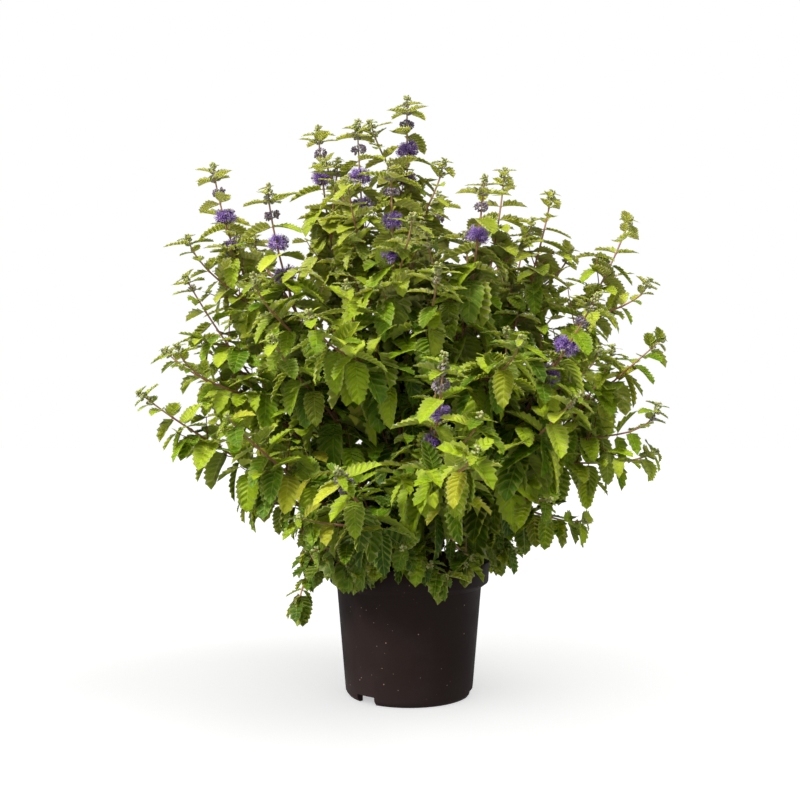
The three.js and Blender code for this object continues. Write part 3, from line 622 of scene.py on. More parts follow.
# The leaves are thin and toothed, quilted between the veins, folded a little along the midrib
# and paler below. Each grows from its joint on a short stalk; small ones stand out level near
# the tips and large ones hang. Small side twigs fill the bush between them.
LEAF_FINISH = 1
UNDERSIDE_FINISH = 2
BUD_FINISH = 3
LEAF_NARROW = 0.46
LEAF_WIDEN = 0.003
LEAF_WIDEST = 0.59
LEAF_FOLD = 18
LEAF_THICKNESS = 0.016
LEAF_BEND = 20
LEAF_BEND_BY_HANG = 0.25
LEAF_STEEPEST = -75
LEAF_ROWS = [
    # where the row starts on the midrib, where it ends at the edge, half width, swelling
    (0.00, 0.00, 0.05, 0.0),
    (0.07, 0.07, 0.045, 0.0),
    (0.085, 0.085, 0.50, 0.3),
    (0.10, 0.14, 0.80, -0.5),
    (0.115, 0.185, 0.79, 0.9),
    (0.13, 0.27, 1.00, -0.8),
    (0.16, 0.30, 0.88, 1.0),
    (0.20, 0.39, 1.02, -0.8),
    (0.24, 0.425, 0.87, 1.0),
    (0.30, 0.51, 0.97, -0.8),
    (0.35, 0.545, 0.80, 0.9),
    (0.42, 0.635, 0.87, -0.7),
    (0.48, 0.665, 0.69, 0.8),
    (0.56, 0.76, 0.73, -0.6),
    (0.63, 0.785, 0.55, 0.6),
    (0.74, 0.88, 0.53, -0.4),
    (0.82, 0.905, 0.35, 0.3),
]
LEAF_WAYS = (-1, -0.52, 0, 0.52, 1)
SMALL_LEAF_ROWS = [
    (0.00, 0.00, 0.06, 0.0),
    (0.07, 0.07, 0.06, 0.0),
    (0.10, 0.18, 0.90, -0.6),
    (0.16, 0.22, 0.78, 0.8),
    (0.24, 0.39, 1.02, -0.8),
    (0.32, 0.43, 0.80, 0.8),
    (0.44, 0.60, 0.92, -0.6),
    (0.52, 0.64, 0.65, 0.6),
    (0.66, 0.80, 0.66, -0.4),
    (0.76, 0.84, 0.42, 0.4),
]
SMALL_LEAF_WAYS = (-1, 0, 1)
SMALL_LEAF_BELOW = 37
EDGE_CURL = 0.012
SWELLING_HEIGHT = 0.020
ATTITUDES = ((0, 0), (16, 6), (-16, 6), (0, 22), (30, -8), (-30, -8), (22, 30), (-22, 30))
LEAF_SHARE_FIRST = 0.34
LEAF_SHARE_STEP = 0.15
LENGTH_SCATTER = 0.08
PAIR_TURN = 45
PAIR_SCATTER = 14
LEAF_SLANT = 38
LEAF_SLANT_FALL = 0.35
LEAF_HANG = -26
LEAF_HANG_BY_LENGTH = 1.25
HANG_SCATTER = 10
LEAF_ROLL = 16
ROOM_CELL = 9
LEAF_ROOM = 0.085
LEAF_ROOM_LEAST = 1.2
RIM_CLEARANCE = 98
RIM_HEIGHT = 157


def leaf_template(rows, ways):
    """One leaf: its corners as (share along, share across, height), its faces and their sides."""
    corners = []
    places = []
    row_step = 1 / len(LEAF_ROWS)
    for i, (midrib, edge, width, swelling) in enumerate(rows):
        for way in ways:
            share = midrib + (edge - midrib) * abs(way) ** 1.3
            height = SWELLING_HEIGHT * swelling * (1 if swelling < 0 or way else -0.5)
            if abs(way) == 1:
                height = -EDGE_CURL * swelling
            corners.append((share, way * width, height))
            places.append((i * row_step, 0.5 + 0.5 * way))
    tip = len(corners)
    corners.append((1, 0, 0))
    places.append((len(rows) * row_step, 0.5))
    below = len(corners)
    for i, row in enumerate(rows):
        corners.append((row[0], 0, -LEAF_THICKNESS))
        places.append((i * row_step, 0.5))
    across = len(ways)
    last = across * (len(rows) - 1)
    faces = []
    for low in range(0, last, across):
        for k in range(across - 1):
            faces.append([low + k, low + k + 1, low + across + k + 1, low + across + k])
    faces += [[last + k, last + k + 1, tip] for k in range(across - 1)]
    sides = [LEAF_FINISH] * len(faces)
    faces.append([*range(across - 1, -1, -1), below])
    for i in range(len(rows) - 1):
        low, high = across * i, across * (i + 1)
        faces.append([low, high, below + i + 1, below + i])
        faces.append([low + across - 1, below + i, below + i + 1, high + across - 1])
    faces.append([last, tip, below + len(rows) - 1])
    faces.append([last + across - 1, below + len(rows) - 1, tip])
    sides += [UNDERSIDE_FINISH] * (len(faces) - len(sides))
    return corners, faces, sides, places


LARGE_TEMPLATE = leaf_template(LEAF_ROWS, LEAF_WAYS)
SMALL_TEMPLATE = leaf_template(SMALL_LEAF_ROWS, SMALL_LEAF_WAYS)


class Leaf:
    """A leaf that grows from root; slant, hang and roll turn it as its weight does."""

    def __init__(self, root, along, away, length, slant, hang, roll):
        leafway = away * math.cos(slant) + along * math.sin(slant)
        level = Vector((leafway.x, leafway.y, 0))
        rise = math.atan2(leafway.z, level.length)
        pitch = max(math.radians(LEAF_STEEPEST), rise - hang)
        level.normalize()
        self.root = root
        self.along = level * math.cos(pitch) + UP * math.sin(pitch)
        self.top = Quaternion(self.along, roll) @ (UP * math.cos(pitch) - level * math.sin(pitch))
        self.side = self.along.cross(self.top)
        self.length = length
        self.width = min(LEAF_WIDEST, LEAF_NARROW + LEAF_WIDEN * length)
        self.bend = math.radians(LEAF_BEND) + LEAF_BEND_BY_HANG * max(0, hang)

    def point(self, share, across, height, fold=math.radians(LEAF_FOLD)):
        """The point of the leaf at a share of its length, a way across it and a height above it."""
        turn = self.bend * share
        forward = self.length * math.sin(turn) / self.bend
        down = self.length * (1 - math.cos(turn)) / self.bend
        lift = abs(across) * math.sin(fold) + height
        place = self.root + self.along * (forward + math.sin(turn) * lift)
        return place + self.top * (math.cos(turn) * lift - down) + self.side * (across * math.cos(fold))

    def sample(self):
        """A few points on the blade that show where it needs room."""
        wide = 0.2 * self.length
        spots = ((0.3, 0), (0.35, wide), (0.35, -wide), (0.62, 0.6 * wide), (0.62, -0.6 * wide), (0.92, 0))
        return [self.point(share, across, 0) for share, across in spots]


def leaf_length(stem, n):
    """Length of a leaf at joint n: small near the tip, full size further down."""
    grown_share = min(1, LEAF_SHARE_FIRST + LEAF_SHARE_STEP * n)
    return stem.leaf * grown_share * (1 + LENGTH_SCATTER * scatter(stem.index, 5 * n))


def joint_leaf(stem, n, hand, attitude):
    """A leaf of a joint: opposite its twin, a quarter turn on from the pair before."""
    swing, droop = attitude
    item = 20 * n + 7 * hand
    along = stem.joint_along.get(n) or direction_from_tip(stem.line, joint_distance(n))
    quarter_turns = 90 * (n % 2 + 2 * hand)
    angle = math.radians(PAIR_TURN + quarter_turns + PAIR_SCATTER * scatter(stem.index, item) + swing)
    length = leaf_length(stem, n)
    hang = LEAF_HANG_BY_LENGTH * length + LEAF_HANG + HANG_SCATTER * scatter(stem.index, item + 1) + droop
    return Leaf(
        point_from_tip(stem.line, joint_distance(n)),
        along,
        way_around(along, stem.reference, angle),
        length,
        math.radians(LEAF_SLANT - LEAF_SLANT_FALL * length),
        math.radians(hang),
        math.radians(LEAF_ROLL) * scatter(stem.index, item + 2),
    )


room = {}


def room_cell(point):
    """The cell of the bush that a point lies in."""
    return tuple(math.floor(part / ROOM_CELL) for part in point)


def has_room(leaf):
    """Whether no other leaf lies close to where this one would be."""
    near = LEAF_ROOM * leaf.length + LEAF_ROOM_LEAST
    for point in leaf.sample():
        if math.hypot(point.x, point.y) < RIM_CLEARANCE and point.z < RIM_HEIGHT:
            return False
        x, y, z = room_cell(point)
        for cell in ((x + i, y + j, z + k) for i in (-1, 0, 1) for j in (-1, 0, 1) for k in (-1, 0, 1)):
            if any((point - other).length < near for other in room.get(cell, ())):
                return False
    return True


def take_room(leaf):
    """Marks the room that a leaf fills."""
    for point in leaf.sample():
        room.setdefault(room_cell(point), []).append(point)


# What makes a leaf lighter: its size and chance, and painted light on leaves high or far out in the
# bush. Painted shade makes leaves deep inside and low down darker. Old leaves low down turn yellow.
TONE_LEAST = 0.22
TONE_BY_SIZE = 0.25
TONE_PAINTED_LIGHT_BY_HEIGHT = 0.20
TONE_PAINTED_LIGHT_BY_REACH = 0.16
TONE_PAINTED_SHADE_INSIDE = 0.36
TONE_PAINTED_SHADE_LOW = 0.36
TONE_CHANCE = 0.36
FULL_LEAF = 62
BUSH_REACH = 240
BUSH_MIDDLE = 390
BUSH_RISE = 290
PAINTED_SHADE_INSIDE_EDGE = 0.95
HIGH_FROM = 340
HIGH_RANGE = 250
PAINTED_SHADE_LOW_FROM = 300
PAINTED_SHADE_LOW_RANGE = 120
OLD_BELOW = 380
HUE_SHARES = (0.45, 0.55)


def leaf_tint_and_shade(leaf):
    """Tone from dark to lime, with painted light and shade in it, leaning to yellow, and how far it has aged.
    """
    height = clamp((leaf.root.z - HIGH_FROM) / HIGH_RANGE)
    level = math.hypot(leaf.root.x, leaf.root.y) / BUSH_REACH
    # Painted light raises the tone high up and far out; painted shade lowers it deep inside and low down.
    inside = max(0, PAINTED_SHADE_INSIDE_EDGE - math.hypot(level, (leaf.root.z - BUSH_MIDDLE) / BUSH_RISE))
    tone = TONE_LEAST + TONE_BY_SIZE * min(1, leaf.length / FULL_LEAF) + TONE_PAINTED_LIGHT_BY_HEIGHT * height
    tone += TONE_PAINTED_LIGHT_BY_REACH * min(1, level) - TONE_PAINTED_SHADE_INSIDE * inside
    tone += chance.uniform(-TONE_CHANCE, TONE_CHANCE) - TONE_PAINTED_SHADE_LOW * clamp((PAINTED_SHADE_LOW_FROM - leaf.root.z) / PAINTED_SHADE_LOW_RANGE)
    age = max(0, chance.uniform(-6, 1)) if leaf.root.z < OLD_BELOW else 0
    return (clamp(tone), HUE_SHARES[0] * chance.random() + HUE_SHARES[1] * height, age)


def add_leaf(plant, leaf):
    """Adds a leaf with its own tint, fold, curl and twist."""
    tint = leaf_tint_and_shade(leaf)
    fold = math.radians(LEAF_FOLD + chance.uniform(-8, 9))
    curl = chance.uniform(-0.035, 0.05) * leaf.length
    ripple = chance.uniform(0.006, 0.018) * leaf.length
    phase = chance.uniform(0, 6)
    half_width = 0.5 * leaf.width * leaf.length
    shape, faces, sides, places = SMALL_TEMPLATE if leaf.length < SMALL_LEAF_BELOW else LARGE_TEMPLATE
    corners = []
    for share, across, lift in shape:
        wave = ripple * math.sin(11 * share + phase + (2 if across > 0 else 0)) * abs(across)
        height = lift * leaf.length + wave - curl * across * across
        corners.append(leaf.point(share, across * half_width, height, fold))
    plant.add(corners, faces, sides, places, tint)


# Every full leaf of the solid shoots is found again: of the ways in which a leaf may have turned
# to find room, the solid has the one whose tip is also a corner of it.
FOUND_WITHIN = 0.5


def solid_corners(base):
    """The corners of a solid shoot, to be searched by place."""
    corners = frame["nodes"][node_names[base.name]].data.vertices
    found = KDTree(len(corners))
    for i, corner in enumerate(corners):
        found.insert(corner.co / MM, i)
    found.balance()
    return found


bases = [stem for stem in stems if not stem.parent]
node_names = {base.name: f"shoot_{i + 1:02d}" for i, base in enumerate(bases)}
solid_trees = {base.name: solid_corners(base) for base in bases}
for stem in stems:
    for n in sorted(stem.joint_along, reverse=True):
        for hand in (0, 1):
            for attitude in ATTITUDES:
                leaf = joint_leaf(stem, n, hand, attitude)
                if solid_trees[stem.base.name].find(leaf.point(1, 0, 0))[2] < FOUND_WITHIN:
                    stem.leaves.append(leaf)
                    take_room(leaf)
                    break


# Between the full leaves stand further pairs. Side shoots rise beside the tall shoots, each
# with its own head of buds, and side twigs fill the bush with smaller leaves.
SIDE_SHOOT_STARTS = (150, 205)
SIDE_SHOOT_LENGTHS = (112, 140)
SIDE_SHOOT_SPREAD = 25
SIDE_SHOOT_RADIUS = 1.45
SIDE_SHOOT_LEAST_SHARE = 0.3
SIDE_SHOOT_LEAF = 0.82
TALL_JOINTS = 7
RIM_SPRIG_BELOW = 440
RIM_SPRIG_REACH = (112, 132)
RIM_SPRIG_HEIGHT = (150, 172)
RIM_SPRIGS = ((0.2, -0.5), (0.3, 0.45))
RIM_SPRIG_LEAN = 104
RIM_SPRIG_LEAF = 46
HALF_JOINTS = (1.5, 2.5, 3.5, 4.5, 5.5)
TWIG_FIRST = 96
TWIG_BELOW_WHORLS = 40
TWIG_SPACING = 34
TWIG_LOWEST = 14
TWIG_RADIUS = 0.75
TWIG_STEPS = 5
TWIG_RISE = 0.12
TWIG_PAIRS = 2
TWIG_SLANT = (22, 52)
TWIG_FULL_AT = 260
TWIG_LEAF_SLANTS = (0, 24, -20)

chance = random.Random(5)


def try_leaf(stem, candidates):
    """Grows the first of the candidate leaves that has room."""
    for leaf in candidates:
        if has_room(leaf):
            take_room(leaf)
            stem.leaves.append(leaf)
            return True
    return False


def twig_line(start, direction, length):
    """A short side twig that turns up toward the light."""
    line = [start]
    for step in range(TWIG_STEPS):
        direction = (direction + UP * TWIG_RISE).normalized()
        line.append(line[-1] + direction * (length / TWIG_STEPS))
    return line


def grow_twig(stem, distance, angle):
    """A side twig with two pairs of leaves, longer further down the stem."""
    along = direction_from_tip(stem.line, distance)
    away = way_around(along, stem.reference, angle)
    slant = math.radians(chance.uniform(*TWIG_SLANT))
    low = min(1, distance / TWIG_FULL_AT)
    length = chance.uniform(0.75, 1.25) * (20 + 40 * low)
    start = point_from_tip(stem.line, distance)
    line = twig_line(start, away * math.cos(slant) + along * math.sin(slant), length)
    full = stem.leaf * (0.8 + 0.2 * low)
    grew = 0
    for pair in range(TWIG_PAIRS):
        left = length * (0.02 + 0.36 * pair)
        root = point_from_tip(line, left)
        lead = direction_from_tip(line, left + 2)
        size = full * (0.62 + 0.28 * pair) * chance.uniform(0.8, 1.12)
        for way in (0, 1):
            turn = math.pi * way + (math.pi / 2) * (pair % 2) + chance.uniform(-0.3, 0.3)
            leafway = way_around(lead, away.cross(UP).normalized(), turn)
            slants = [math.radians(30 - 0.3 * size + shift) for shift in TWIG_LEAF_SLANTS]
            hang = math.radians(1.1 * size - 20 + chance.uniform(-12, 18))
            roll = math.radians(chance.uniform(-18, 18))
            grew += try_leaf(stem, [Leaf(root, lead, leafway, size, slant, hang, roll) for slant in slants])
    if grew:
        radii = [TWIG_RADIUS * (1 - 0.35 * i / TWIG_STEPS) for i in range(TWIG_STEPS + 1)]
        add_tube(stem.plant, line, radii, [bark_height(point) for point in line])


def add_side_shoot(*row):
    """A thin further shoot on a solid one. The solids have no leaf of it."""
    side_shoot = Stem(row)
    side_shoot.foot_radius = SIDE_SHOOT_RADIUS
    side_shoot.joint_along = {}
    stems.append(side_shoot)


for stem in [stem for stem in stems if stem.joint_count >= TALL_JOINTS]:
    turn = chance.uniform(0, 2 * math.pi)
    for k, (start, length) in enumerate(zip(SIDE_SHOOT_STARTS, SIDE_SHOOT_LENGTHS)):
        turn += 2.1 + chance.uniform(-0.4, 0.4)
        share = 1 - start / stem.length
        if share < SIDE_SHOOT_LEAST_SHARE:
            continue
        lead = direction_from_tip(stem.line, start)
        away = way_around(lead, stem.reference, turn)
        spread = math.radians(SIDE_SHOOT_SPREAD + chance.uniform(-5, 6))
        long = length * chance.uniform(0.88, 1.1)
        tip = point_from_tip(stem.line, start) + (lead * math.cos(spread) + away * math.sin(spread)) * long
        lean = 6 + chance.uniform(0, 10)
        leaf_size = stem.leaf * SIDE_SHOOT_LEAF
        add_side_shoot(f"{stem.name}_side_{k}", stem.name, share, tip, lean, 3, leaf_size, 0)
for stem in [stem for stem in bases if stem.tip.z < RIM_SPRIG_BELOW]:
    for k, (share, swing) in enumerate(RIM_SPRIGS):
        outward = math.atan2(stem.tip.y, stem.tip.x) + swing + chance.uniform(-0.15, 0.15)
        reach = chance.uniform(*RIM_SPRIG_REACH)
        tip = (reach * math.cos(outward), reach * math.sin(outward), chance.uniform(*RIM_SPRIG_HEIGHT))
        add_side_shoot(f"{stem.name}_rim_{k}", stem.name, share, tip, RIM_SPRIG_LEAN, 2, RIM_SPRIG_LEAF, 0)
for stem in stems:
    for n in sorted({*stem.joints, *HALF_JOINTS} - {*stem.joint_along}):
        under_whorl = 1 < n <= stem.whorls + 1
        if joint_distance(n) > stem.length - TWIG_LOWEST or under_whorl and n in HALF_JOINTS:
            continue
        for hand in (0, 1):
            try_leaf(stem, [joint_leaf(stem, n, hand, attitude) for attitude in ATTITUDES])
for stem in stems:
    distance = TWIG_FIRST + (TWIG_BELOW_WHORLS if stem.whorls else 0)
    angle = chance.uniform(0, 2 * math.pi)
    while distance < stem.length - TWIG_LOWEST:
        grow_twig(stem, distance, angle)
        grow_twig(stem, distance, angle + math.pi)
        distance += TWIG_SPACING * chance.uniform(0.8, 1.2)
        angle += math.pi / 2 + chance.uniform(-0.5, 0.5)
for stem in stems:
    add_stem(stem)
    for leaf in stem.leaves:
        add_leaf(stem.plant, leaf)


# At every tip sits a head of small round buds among narrow leaves: grey-green, and turning
# violet on the shoots in flower. Low young shoots end in broader leaves with few buds.
# Each kind of small leaf: its width as a share of its length, and how far it hangs.
BRACT = (0.46, 0.1)
YOUNG_LEAF = (0.68, 0.3)
DROOPING_BELOW = -0.3
DROOPING_HANG = 0.8
# A leaf whose end would pass these places is shortened.
WIDEST = 304
DEEPEST = 270
SHORTENED = 0.6
HEAD_TIER = (3.5, 3.4, 4.2, 15, 1.65, 0.05)
# Half of the plain shoots have buds above their first joint too.
FURTHER_TIER_CHANCE = 0.5
FURTHER_TIER_RISE = 3.5
FURTHER_TIER = (3.4, 5.6, 26, 1.45)
FURTHER_TIER_VIOLETS = (0.15, 0.45, 0.7)
HEADS = {
    # kind of shoot: kind of leaf, the pairs of leaves from the lowest up (distance from the tip,
    # length, turn), the tiers of buds (distance from the tip, height, width, count, size, violet)
    "flowering": (
        BRACT,
        ((22, 37, 0.8), (12.5, 24, 2.4), (5.5, 12, 0.9)),
        (HEAD_TIER, (19, 4.2, 7.6, 34, 1.7, 0.6), (10, 3.0, 5.2, 16, 1.6, 0.3)),
    ),
    "plain": (
        BRACT,
        ((11.5, 33, 2.4), (5, 17, 0.8), (2, 8, 2.4)),
        (HEAD_TIER, (9.5, 3.2, 5.6, 18, 1.65, 0.15)),
    ),
    "young": (
        YOUNG_LEAF,
        ((17, 34, 2.4), (8, 27, 0.8), (2, 13, 2.4)),
        (HEAD_TIER,),
    ),
}
YOUNG_BELOW = 330
BUD_SIZE = (0.9, 0.9, 1.2)


def template(piece):
    """The corners and faces of a modelled shape, which is then taken away."""
    mesh = piece.data
    corners = [corner.co.copy() for corner in mesh.vertices]
    faces = [list(face.vertices) for face in mesh.polygons]
    finishes = [face.material_index for face in mesh.polygons]
    bpy.data.objects.remove(piece)
    return corners, faces, finishes


bpy.ops.object.select_all(action="DESELECT")
bpy.ops.mesh.primitive_uv_sphere_add(segments=5, ring_count=3, radius=1)
bpy.ops.object.mode_set(mode="EDIT")
bpy.ops.mesh.select_all(action="SELECT")
bpy.ops.transform.resize(value=BUD_SIZE)
bpy.ops.object.mode_set(mode="OBJECT")
BUD = template(bpy.context.object)


def place_copy(plant, shape, place, direction, size, finishes, tint):
    """Adds a copy of a template that points in a direction."""
    corners, faces, parts = shape
    turn = direction.to_track_quat("Z", "Y") @ Quaternion((0, 0, 1), chance.uniform(0, 6.28))
    turned = [place + turn @ (corner * size) for corner in corners]
    heights = [(0.5, corner.z) for corner in corners]
    plant.add(turned, faces, [finishes[part] for part in parts], heights, tint)


def random_direction(toward, least):
    """A random direction that leans at least so far toward another."""
    while True:
        way = Vector((chance.gauss(0, 1), chance.gauss(0, 1), chance.gauss(0, 1))).normalized()
        if way.dot(toward) > least:
            return way


def add_pair(stem, distance, length, turn, kind):
    """A pair of small leaves close to the tip."""
    width, hang = kind
    along = direction_from_tip(stem.line, distance)
    is_drooping = along.z < DROOPING_BELOW
    for hand in (0, 1):
        angle = turn + math.pi * hand + chance.uniform(-0.25, 0.25)
        away = way_around(along, stem.reference, angle)
        root = point_from_tip(stem.line, distance)
        slant = math.radians(chance.uniform(4, 26))
        size = length * chance.uniform(0.85, 1.15)
        roll = chance.uniform(-0.3, 0.3)
        leaf = Leaf(root, along, away, size, slant, DROOPING_HANG if is_drooping else hang, roll)
        leaf.width = width
        if not is_drooping:
            facing = along + UP * 0.5
            leaf.top = (facing - leaf.along * facing.dot(leaf.along)).normalized()
            leaf.side = leaf.along.cross(leaf.top)
        end = leaf.point(1, 0, 0)
        if abs(end.x) > WIDEST or abs(end.y) > DEEPEST:
            leaf.length *= SHORTENED
        add_leaf(stem.plant, leaf)


def add_tier(stem, distance, height, width, count, size, violet):
    """A ring of buds around the stem, fuller on two sides."""
    along = direction_from_tip(stem.line, distance)
    for _ in range(count):
        turn = chance.uniform(0, 2 * math.pi)
        lobe = 0.62 + 0.38 * abs(math.cos(turn - math.pi / 4))
        rise = chance.uniform(-1, 1)
        level = way_around(along, stem.reference, turn)
        reach = width * lobe * math.sqrt(1 - 0.75 * rise * rise) * chance.uniform(0.72, 1.0)
        place = point_from_tip(stem.line, distance) + level * reach + along * (rise * height)
        way = (level + along * (0.6 + 0.5 * rise)).normalized()
        tint = (clamp(violet + chance.uniform(-0.2, 0.2)), chance.random(), 0)
        place_copy(stem.plant, BUD, place, way, size * chance.uniform(0.75, 1.15), [BUD_FINISH], tint)


for stem in stems:
    kind_of_shoot = "plain"
    if stem.whorls:
        kind_of_shoot = "flowering"
    elif stem.tip.z < YOUNG_BELOW:
        kind_of_shoot = "young"
    kind_of_leaf, pairs, tiers = HEADS[kind_of_shoot]
    for distance, length, turn in pairs:
        add_pair(stem, distance, length, turn, kind_of_leaf)
    if kind_of_shoot == "plain" and chance.random() < FURTHER_TIER_CHANCE:
        violet = chance.choice(FURTHER_TIER_VIOLETS)
        tiers = (*tiers, (joint_distance(1) - FURTHER_TIER_RISE, *FURTHER_TIER, violet))
    for tier in tiers:
        add_tier(stem, *tier)


# Finishes of the shoots: reddish bark, darkened at the foot with painted shade, that turns green toward
# the tips, leaves with pale sunken veins and a painted highlight along the edge, their paler felted
# undersides, and felted buds.
# The darkest bark, at the foot of the stems inside the bush, is partly painted shade.
BARK_AND_SHADE_STOPS = ((0.0, (76, 58, 32)), (0.35, (106, 68, 48)), (0.75, (158, 108, 84)), (1.0, (166, 148, 96)))
BARK_RELIEF = 0.0004
BUD_STOPS = ((0.0, (158, 166, 84)), (0.35, (160, 160, 108)), (0.7, (138, 124, 138)), (1.0, (112, 84, 150)))
BUD_FELT_COLOUR = (206, 206, 166)
BUD_RELIEF = 0.0003
OLD_LEAF_COLOUR = (180, 172, 40)
OLD_LEAF_SHARE = 0.65
LEAF_EDGE_HIGHLIGHT_SHARE = 0.16
LEAF_GLOW = 0.4
LEAF_GLOW_RADIUS = (1, 1, 0.25)
LEAF_GLOW_DEPTH = 0.0018
SIDE_VEIN_SHARE = 0.4
VEIN_NET_SHARE = 0.2
VEIN_NET_SCALE = 20
VEIN_TURNS = math.pi * len(LEAF_ROWS)
SHARP_ANGLE = 50


def vein_group():
    """Side veins and midrib of a leaf, read from its surface map: a mask, a relief and the edge mask for a
    painted highlight.
    """
    group = bpy.data.node_groups.new("leaf_veins", "ShaderNodeTree")
    group.interface.new_socket("Side veins", in_out="INPUT", socket_type="NodeSocketFloat")
    for name in ("Vein", "Relief", "Edge"):
        group.interface.new_socket(name, in_out="OUTPUT", socket_type="NodeSocketFloat")
    given = group.nodes.new("NodeGroupInput")
    result = group.nodes.new("NodeGroupOutput")
    surface = add_node(group, "ShaderNodeUVMap", uv_map="surface").outputs["UV"]
    parts = add_node(group, "ShaderNodeSeparateXYZ", {"Vector": surface})
    across = calc(group, "ABSOLUTE", calc(group, "MULTIPLY_ADD", parts.outputs["Y"], 2, -1))
    wave = calc(group, "COSINE", calc(group, "MULTIPLY", parts.outputs["X"], given.outputs["Side veins"]))
    wave = calc(group, "MULTIPLY", wave, -1)
    side_vein = ease(group, wave, 0.72, 1.0)
    midrib = ease(group, across, 0.10, 0.02)
    cells = {"Vector": surface, "Scale": VEIN_NET_SCALE}
    fine = add_node(group, "ShaderNodeTexVoronoi", cells, feature="DISTANCE_TO_EDGE")
    net = ease(group, fine.outputs["Distance"], 0.10, 0.0)
    vein = calc(group, "MAXIMUM", midrib, calc(group, "MULTIPLY", side_vein, SIDE_VEIN_SHARE))
    vein = calc(group, "MAXIMUM", vein, calc(group, "MULTIPLY", net, VEIN_NET_SHARE))
    swell = calc(group, "MULTIPLY", wave, -0.6)
    relief = calc(group, "SUBTRACT", swell, calc(group, "MULTIPLY", vein, 0.25))
    group.links.new(vein, result.inputs["Vein"])
    group.links.new(relief, result.inputs["Relief"])
    # The mask of the leaf's margin, where a painted highlight goes.
    group.links.new(ease(group, across, 0.82, 1.0), result.inputs["Edge"])
    return group


LEAF_VEINS = vein_group()


def tint_parts(tree):
    """The three numbers of a piece's tint."""
    tint = add_node(tree, "ShaderNodeVertexColor", layer_name="tint").outputs["Color"]
    return add_node(tree, "ShaderNodeSeparateColor", {"Color": tint}).outputs


def ramp(tree, value, stops):
    """A colour led through stops of (place, screen colour)."""
    made = add_node(tree, "ShaderNodeValToRGB", {"Fac": value})
    band = made.color_ramp
    while len(band.elements) < len(stops):
        band.elements.new(0.5)
    for element, (place, colour) in zip(band.elements, stops):
        element.position = place
        element.color = shade(*colour)
    return made.outputs["Color"]


def stir(tree, value, clouds, amount):
    """A number moved up and down by a cloudy one."""
    return calc(tree, "ADD", value, calc(tree, "MULTIPLY_ADD", clouds, amount, -amount / 2))


def leaf_material(name, roughness, stops, felt, felt_share, vein, vein_share, depth):
    """One side of the leaves. Felt shows on young leaves, the veins show everywhere, and the edge has a
    painted highlight.
    """
    material, tree, shader, place = start_material(name, roughness, 0.15)
    shader.inputs["Subsurface Weight"].default_value = LEAF_GLOW
    shader.inputs["Subsurface Radius"].default_value = LEAF_GLOW_RADIUS
    shader.inputs["Subsurface Scale"].default_value = LEAF_GLOW_DEPTH
    tone, hue, age = tint_parts(tree)
    veins = add_node(tree, "ShaderNodeGroup", {"Side veins": VEIN_TURNS}, node_tree=LEAF_VEINS).outputs
    # The tone carries the leaves' painted light and shade.
    colour = ramp(tree, stir(tree, tone, speckle(tree, place, 0.012, 4.0), 0.5), stops)
    colour = blend_colour(tree, ease(tree, hue, 0.2, 1), colour, shade(*felt), felt_share)
    colour = blend_colour(tree, ease(tree, age, 0.35, 1), colour, shade(*OLD_LEAF_COLOUR), OLD_LEAF_SHARE)
    colour = blend_colour(tree, veins["Vein"], colour, shade(*vein), vein_share)
    # Painted highlight: the leaf edge is lightened toward the vein colour.
    colour = blend_colour(tree, veins["Edge"], colour, shade(*vein), LEAF_EDGE_HIGHLIGHT_SHARE)
    set_surface(tree, shader, colour, veins["Relief"], depth)
    return material


bark, tree, shader, place = start_material("stem_bark", 0.6)
surface = add_node(tree, "ShaderNodeUVMap", uv_map="surface").outputs["UV"]
height = add_node(tree, "ShaderNodeSeparateXYZ", {"Vector": surface}).outputs["Y"]
streaks = speckle(tree, place, 0.004, 4.0)
set_surface(tree, shader, ramp(tree, stir(tree, height, streaks, 0.5), BARK_AND_SHADE_STOPS), streaks, BARK_RELIEF, 0.6)

leaf_green = leaf_material(
    "leaf_green",
    roughness=0.48,
    stops=((0.0, (36, 64, 1)), (0.26, (76, 110, 3)), (0.56, (142, 166, 16)), (1.0, (184, 192, 60))),
    felt=(142, 142, 48),
    felt_share=0.6,
    vein=(200, 214, 84),
    vein_share=0.2,
    depth=0.0008,
)
leaf_pale = leaf_material(
    "leaf_underside",
    roughness=0.75,
    stops=((0.0, (78, 100, 16)), (0.5, (130, 148, 40)), (1.0, (174, 186, 76))),
    felt=(190, 184, 112),
    felt_share=0.8,
    vein=(186, 190, 122),
    vein_share=0.4,
    depth=0.0005,
)

bud_felt, tree, shader, place = start_material("bud_felt", 0.85)
felt = speckle(tree, place, 0.0007, 2.0)
colour = blend_colour(tree, felt, ramp(tree, tint_parts(tree)[0], BUD_STOPS), shade(*BUD_FELT_COLOUR), 0.4)
set_surface(tree, shader, colour, felt, BUD_RELIEF, 0.8)

for base in bases:
    name = node_names[base.name]
    piece = base.plant.piece(f"leafy_{name}", (bark, leaf_green, leaf_pale, bud_felt), SHARP_ANGLE)
    finish_piece(piece, name)


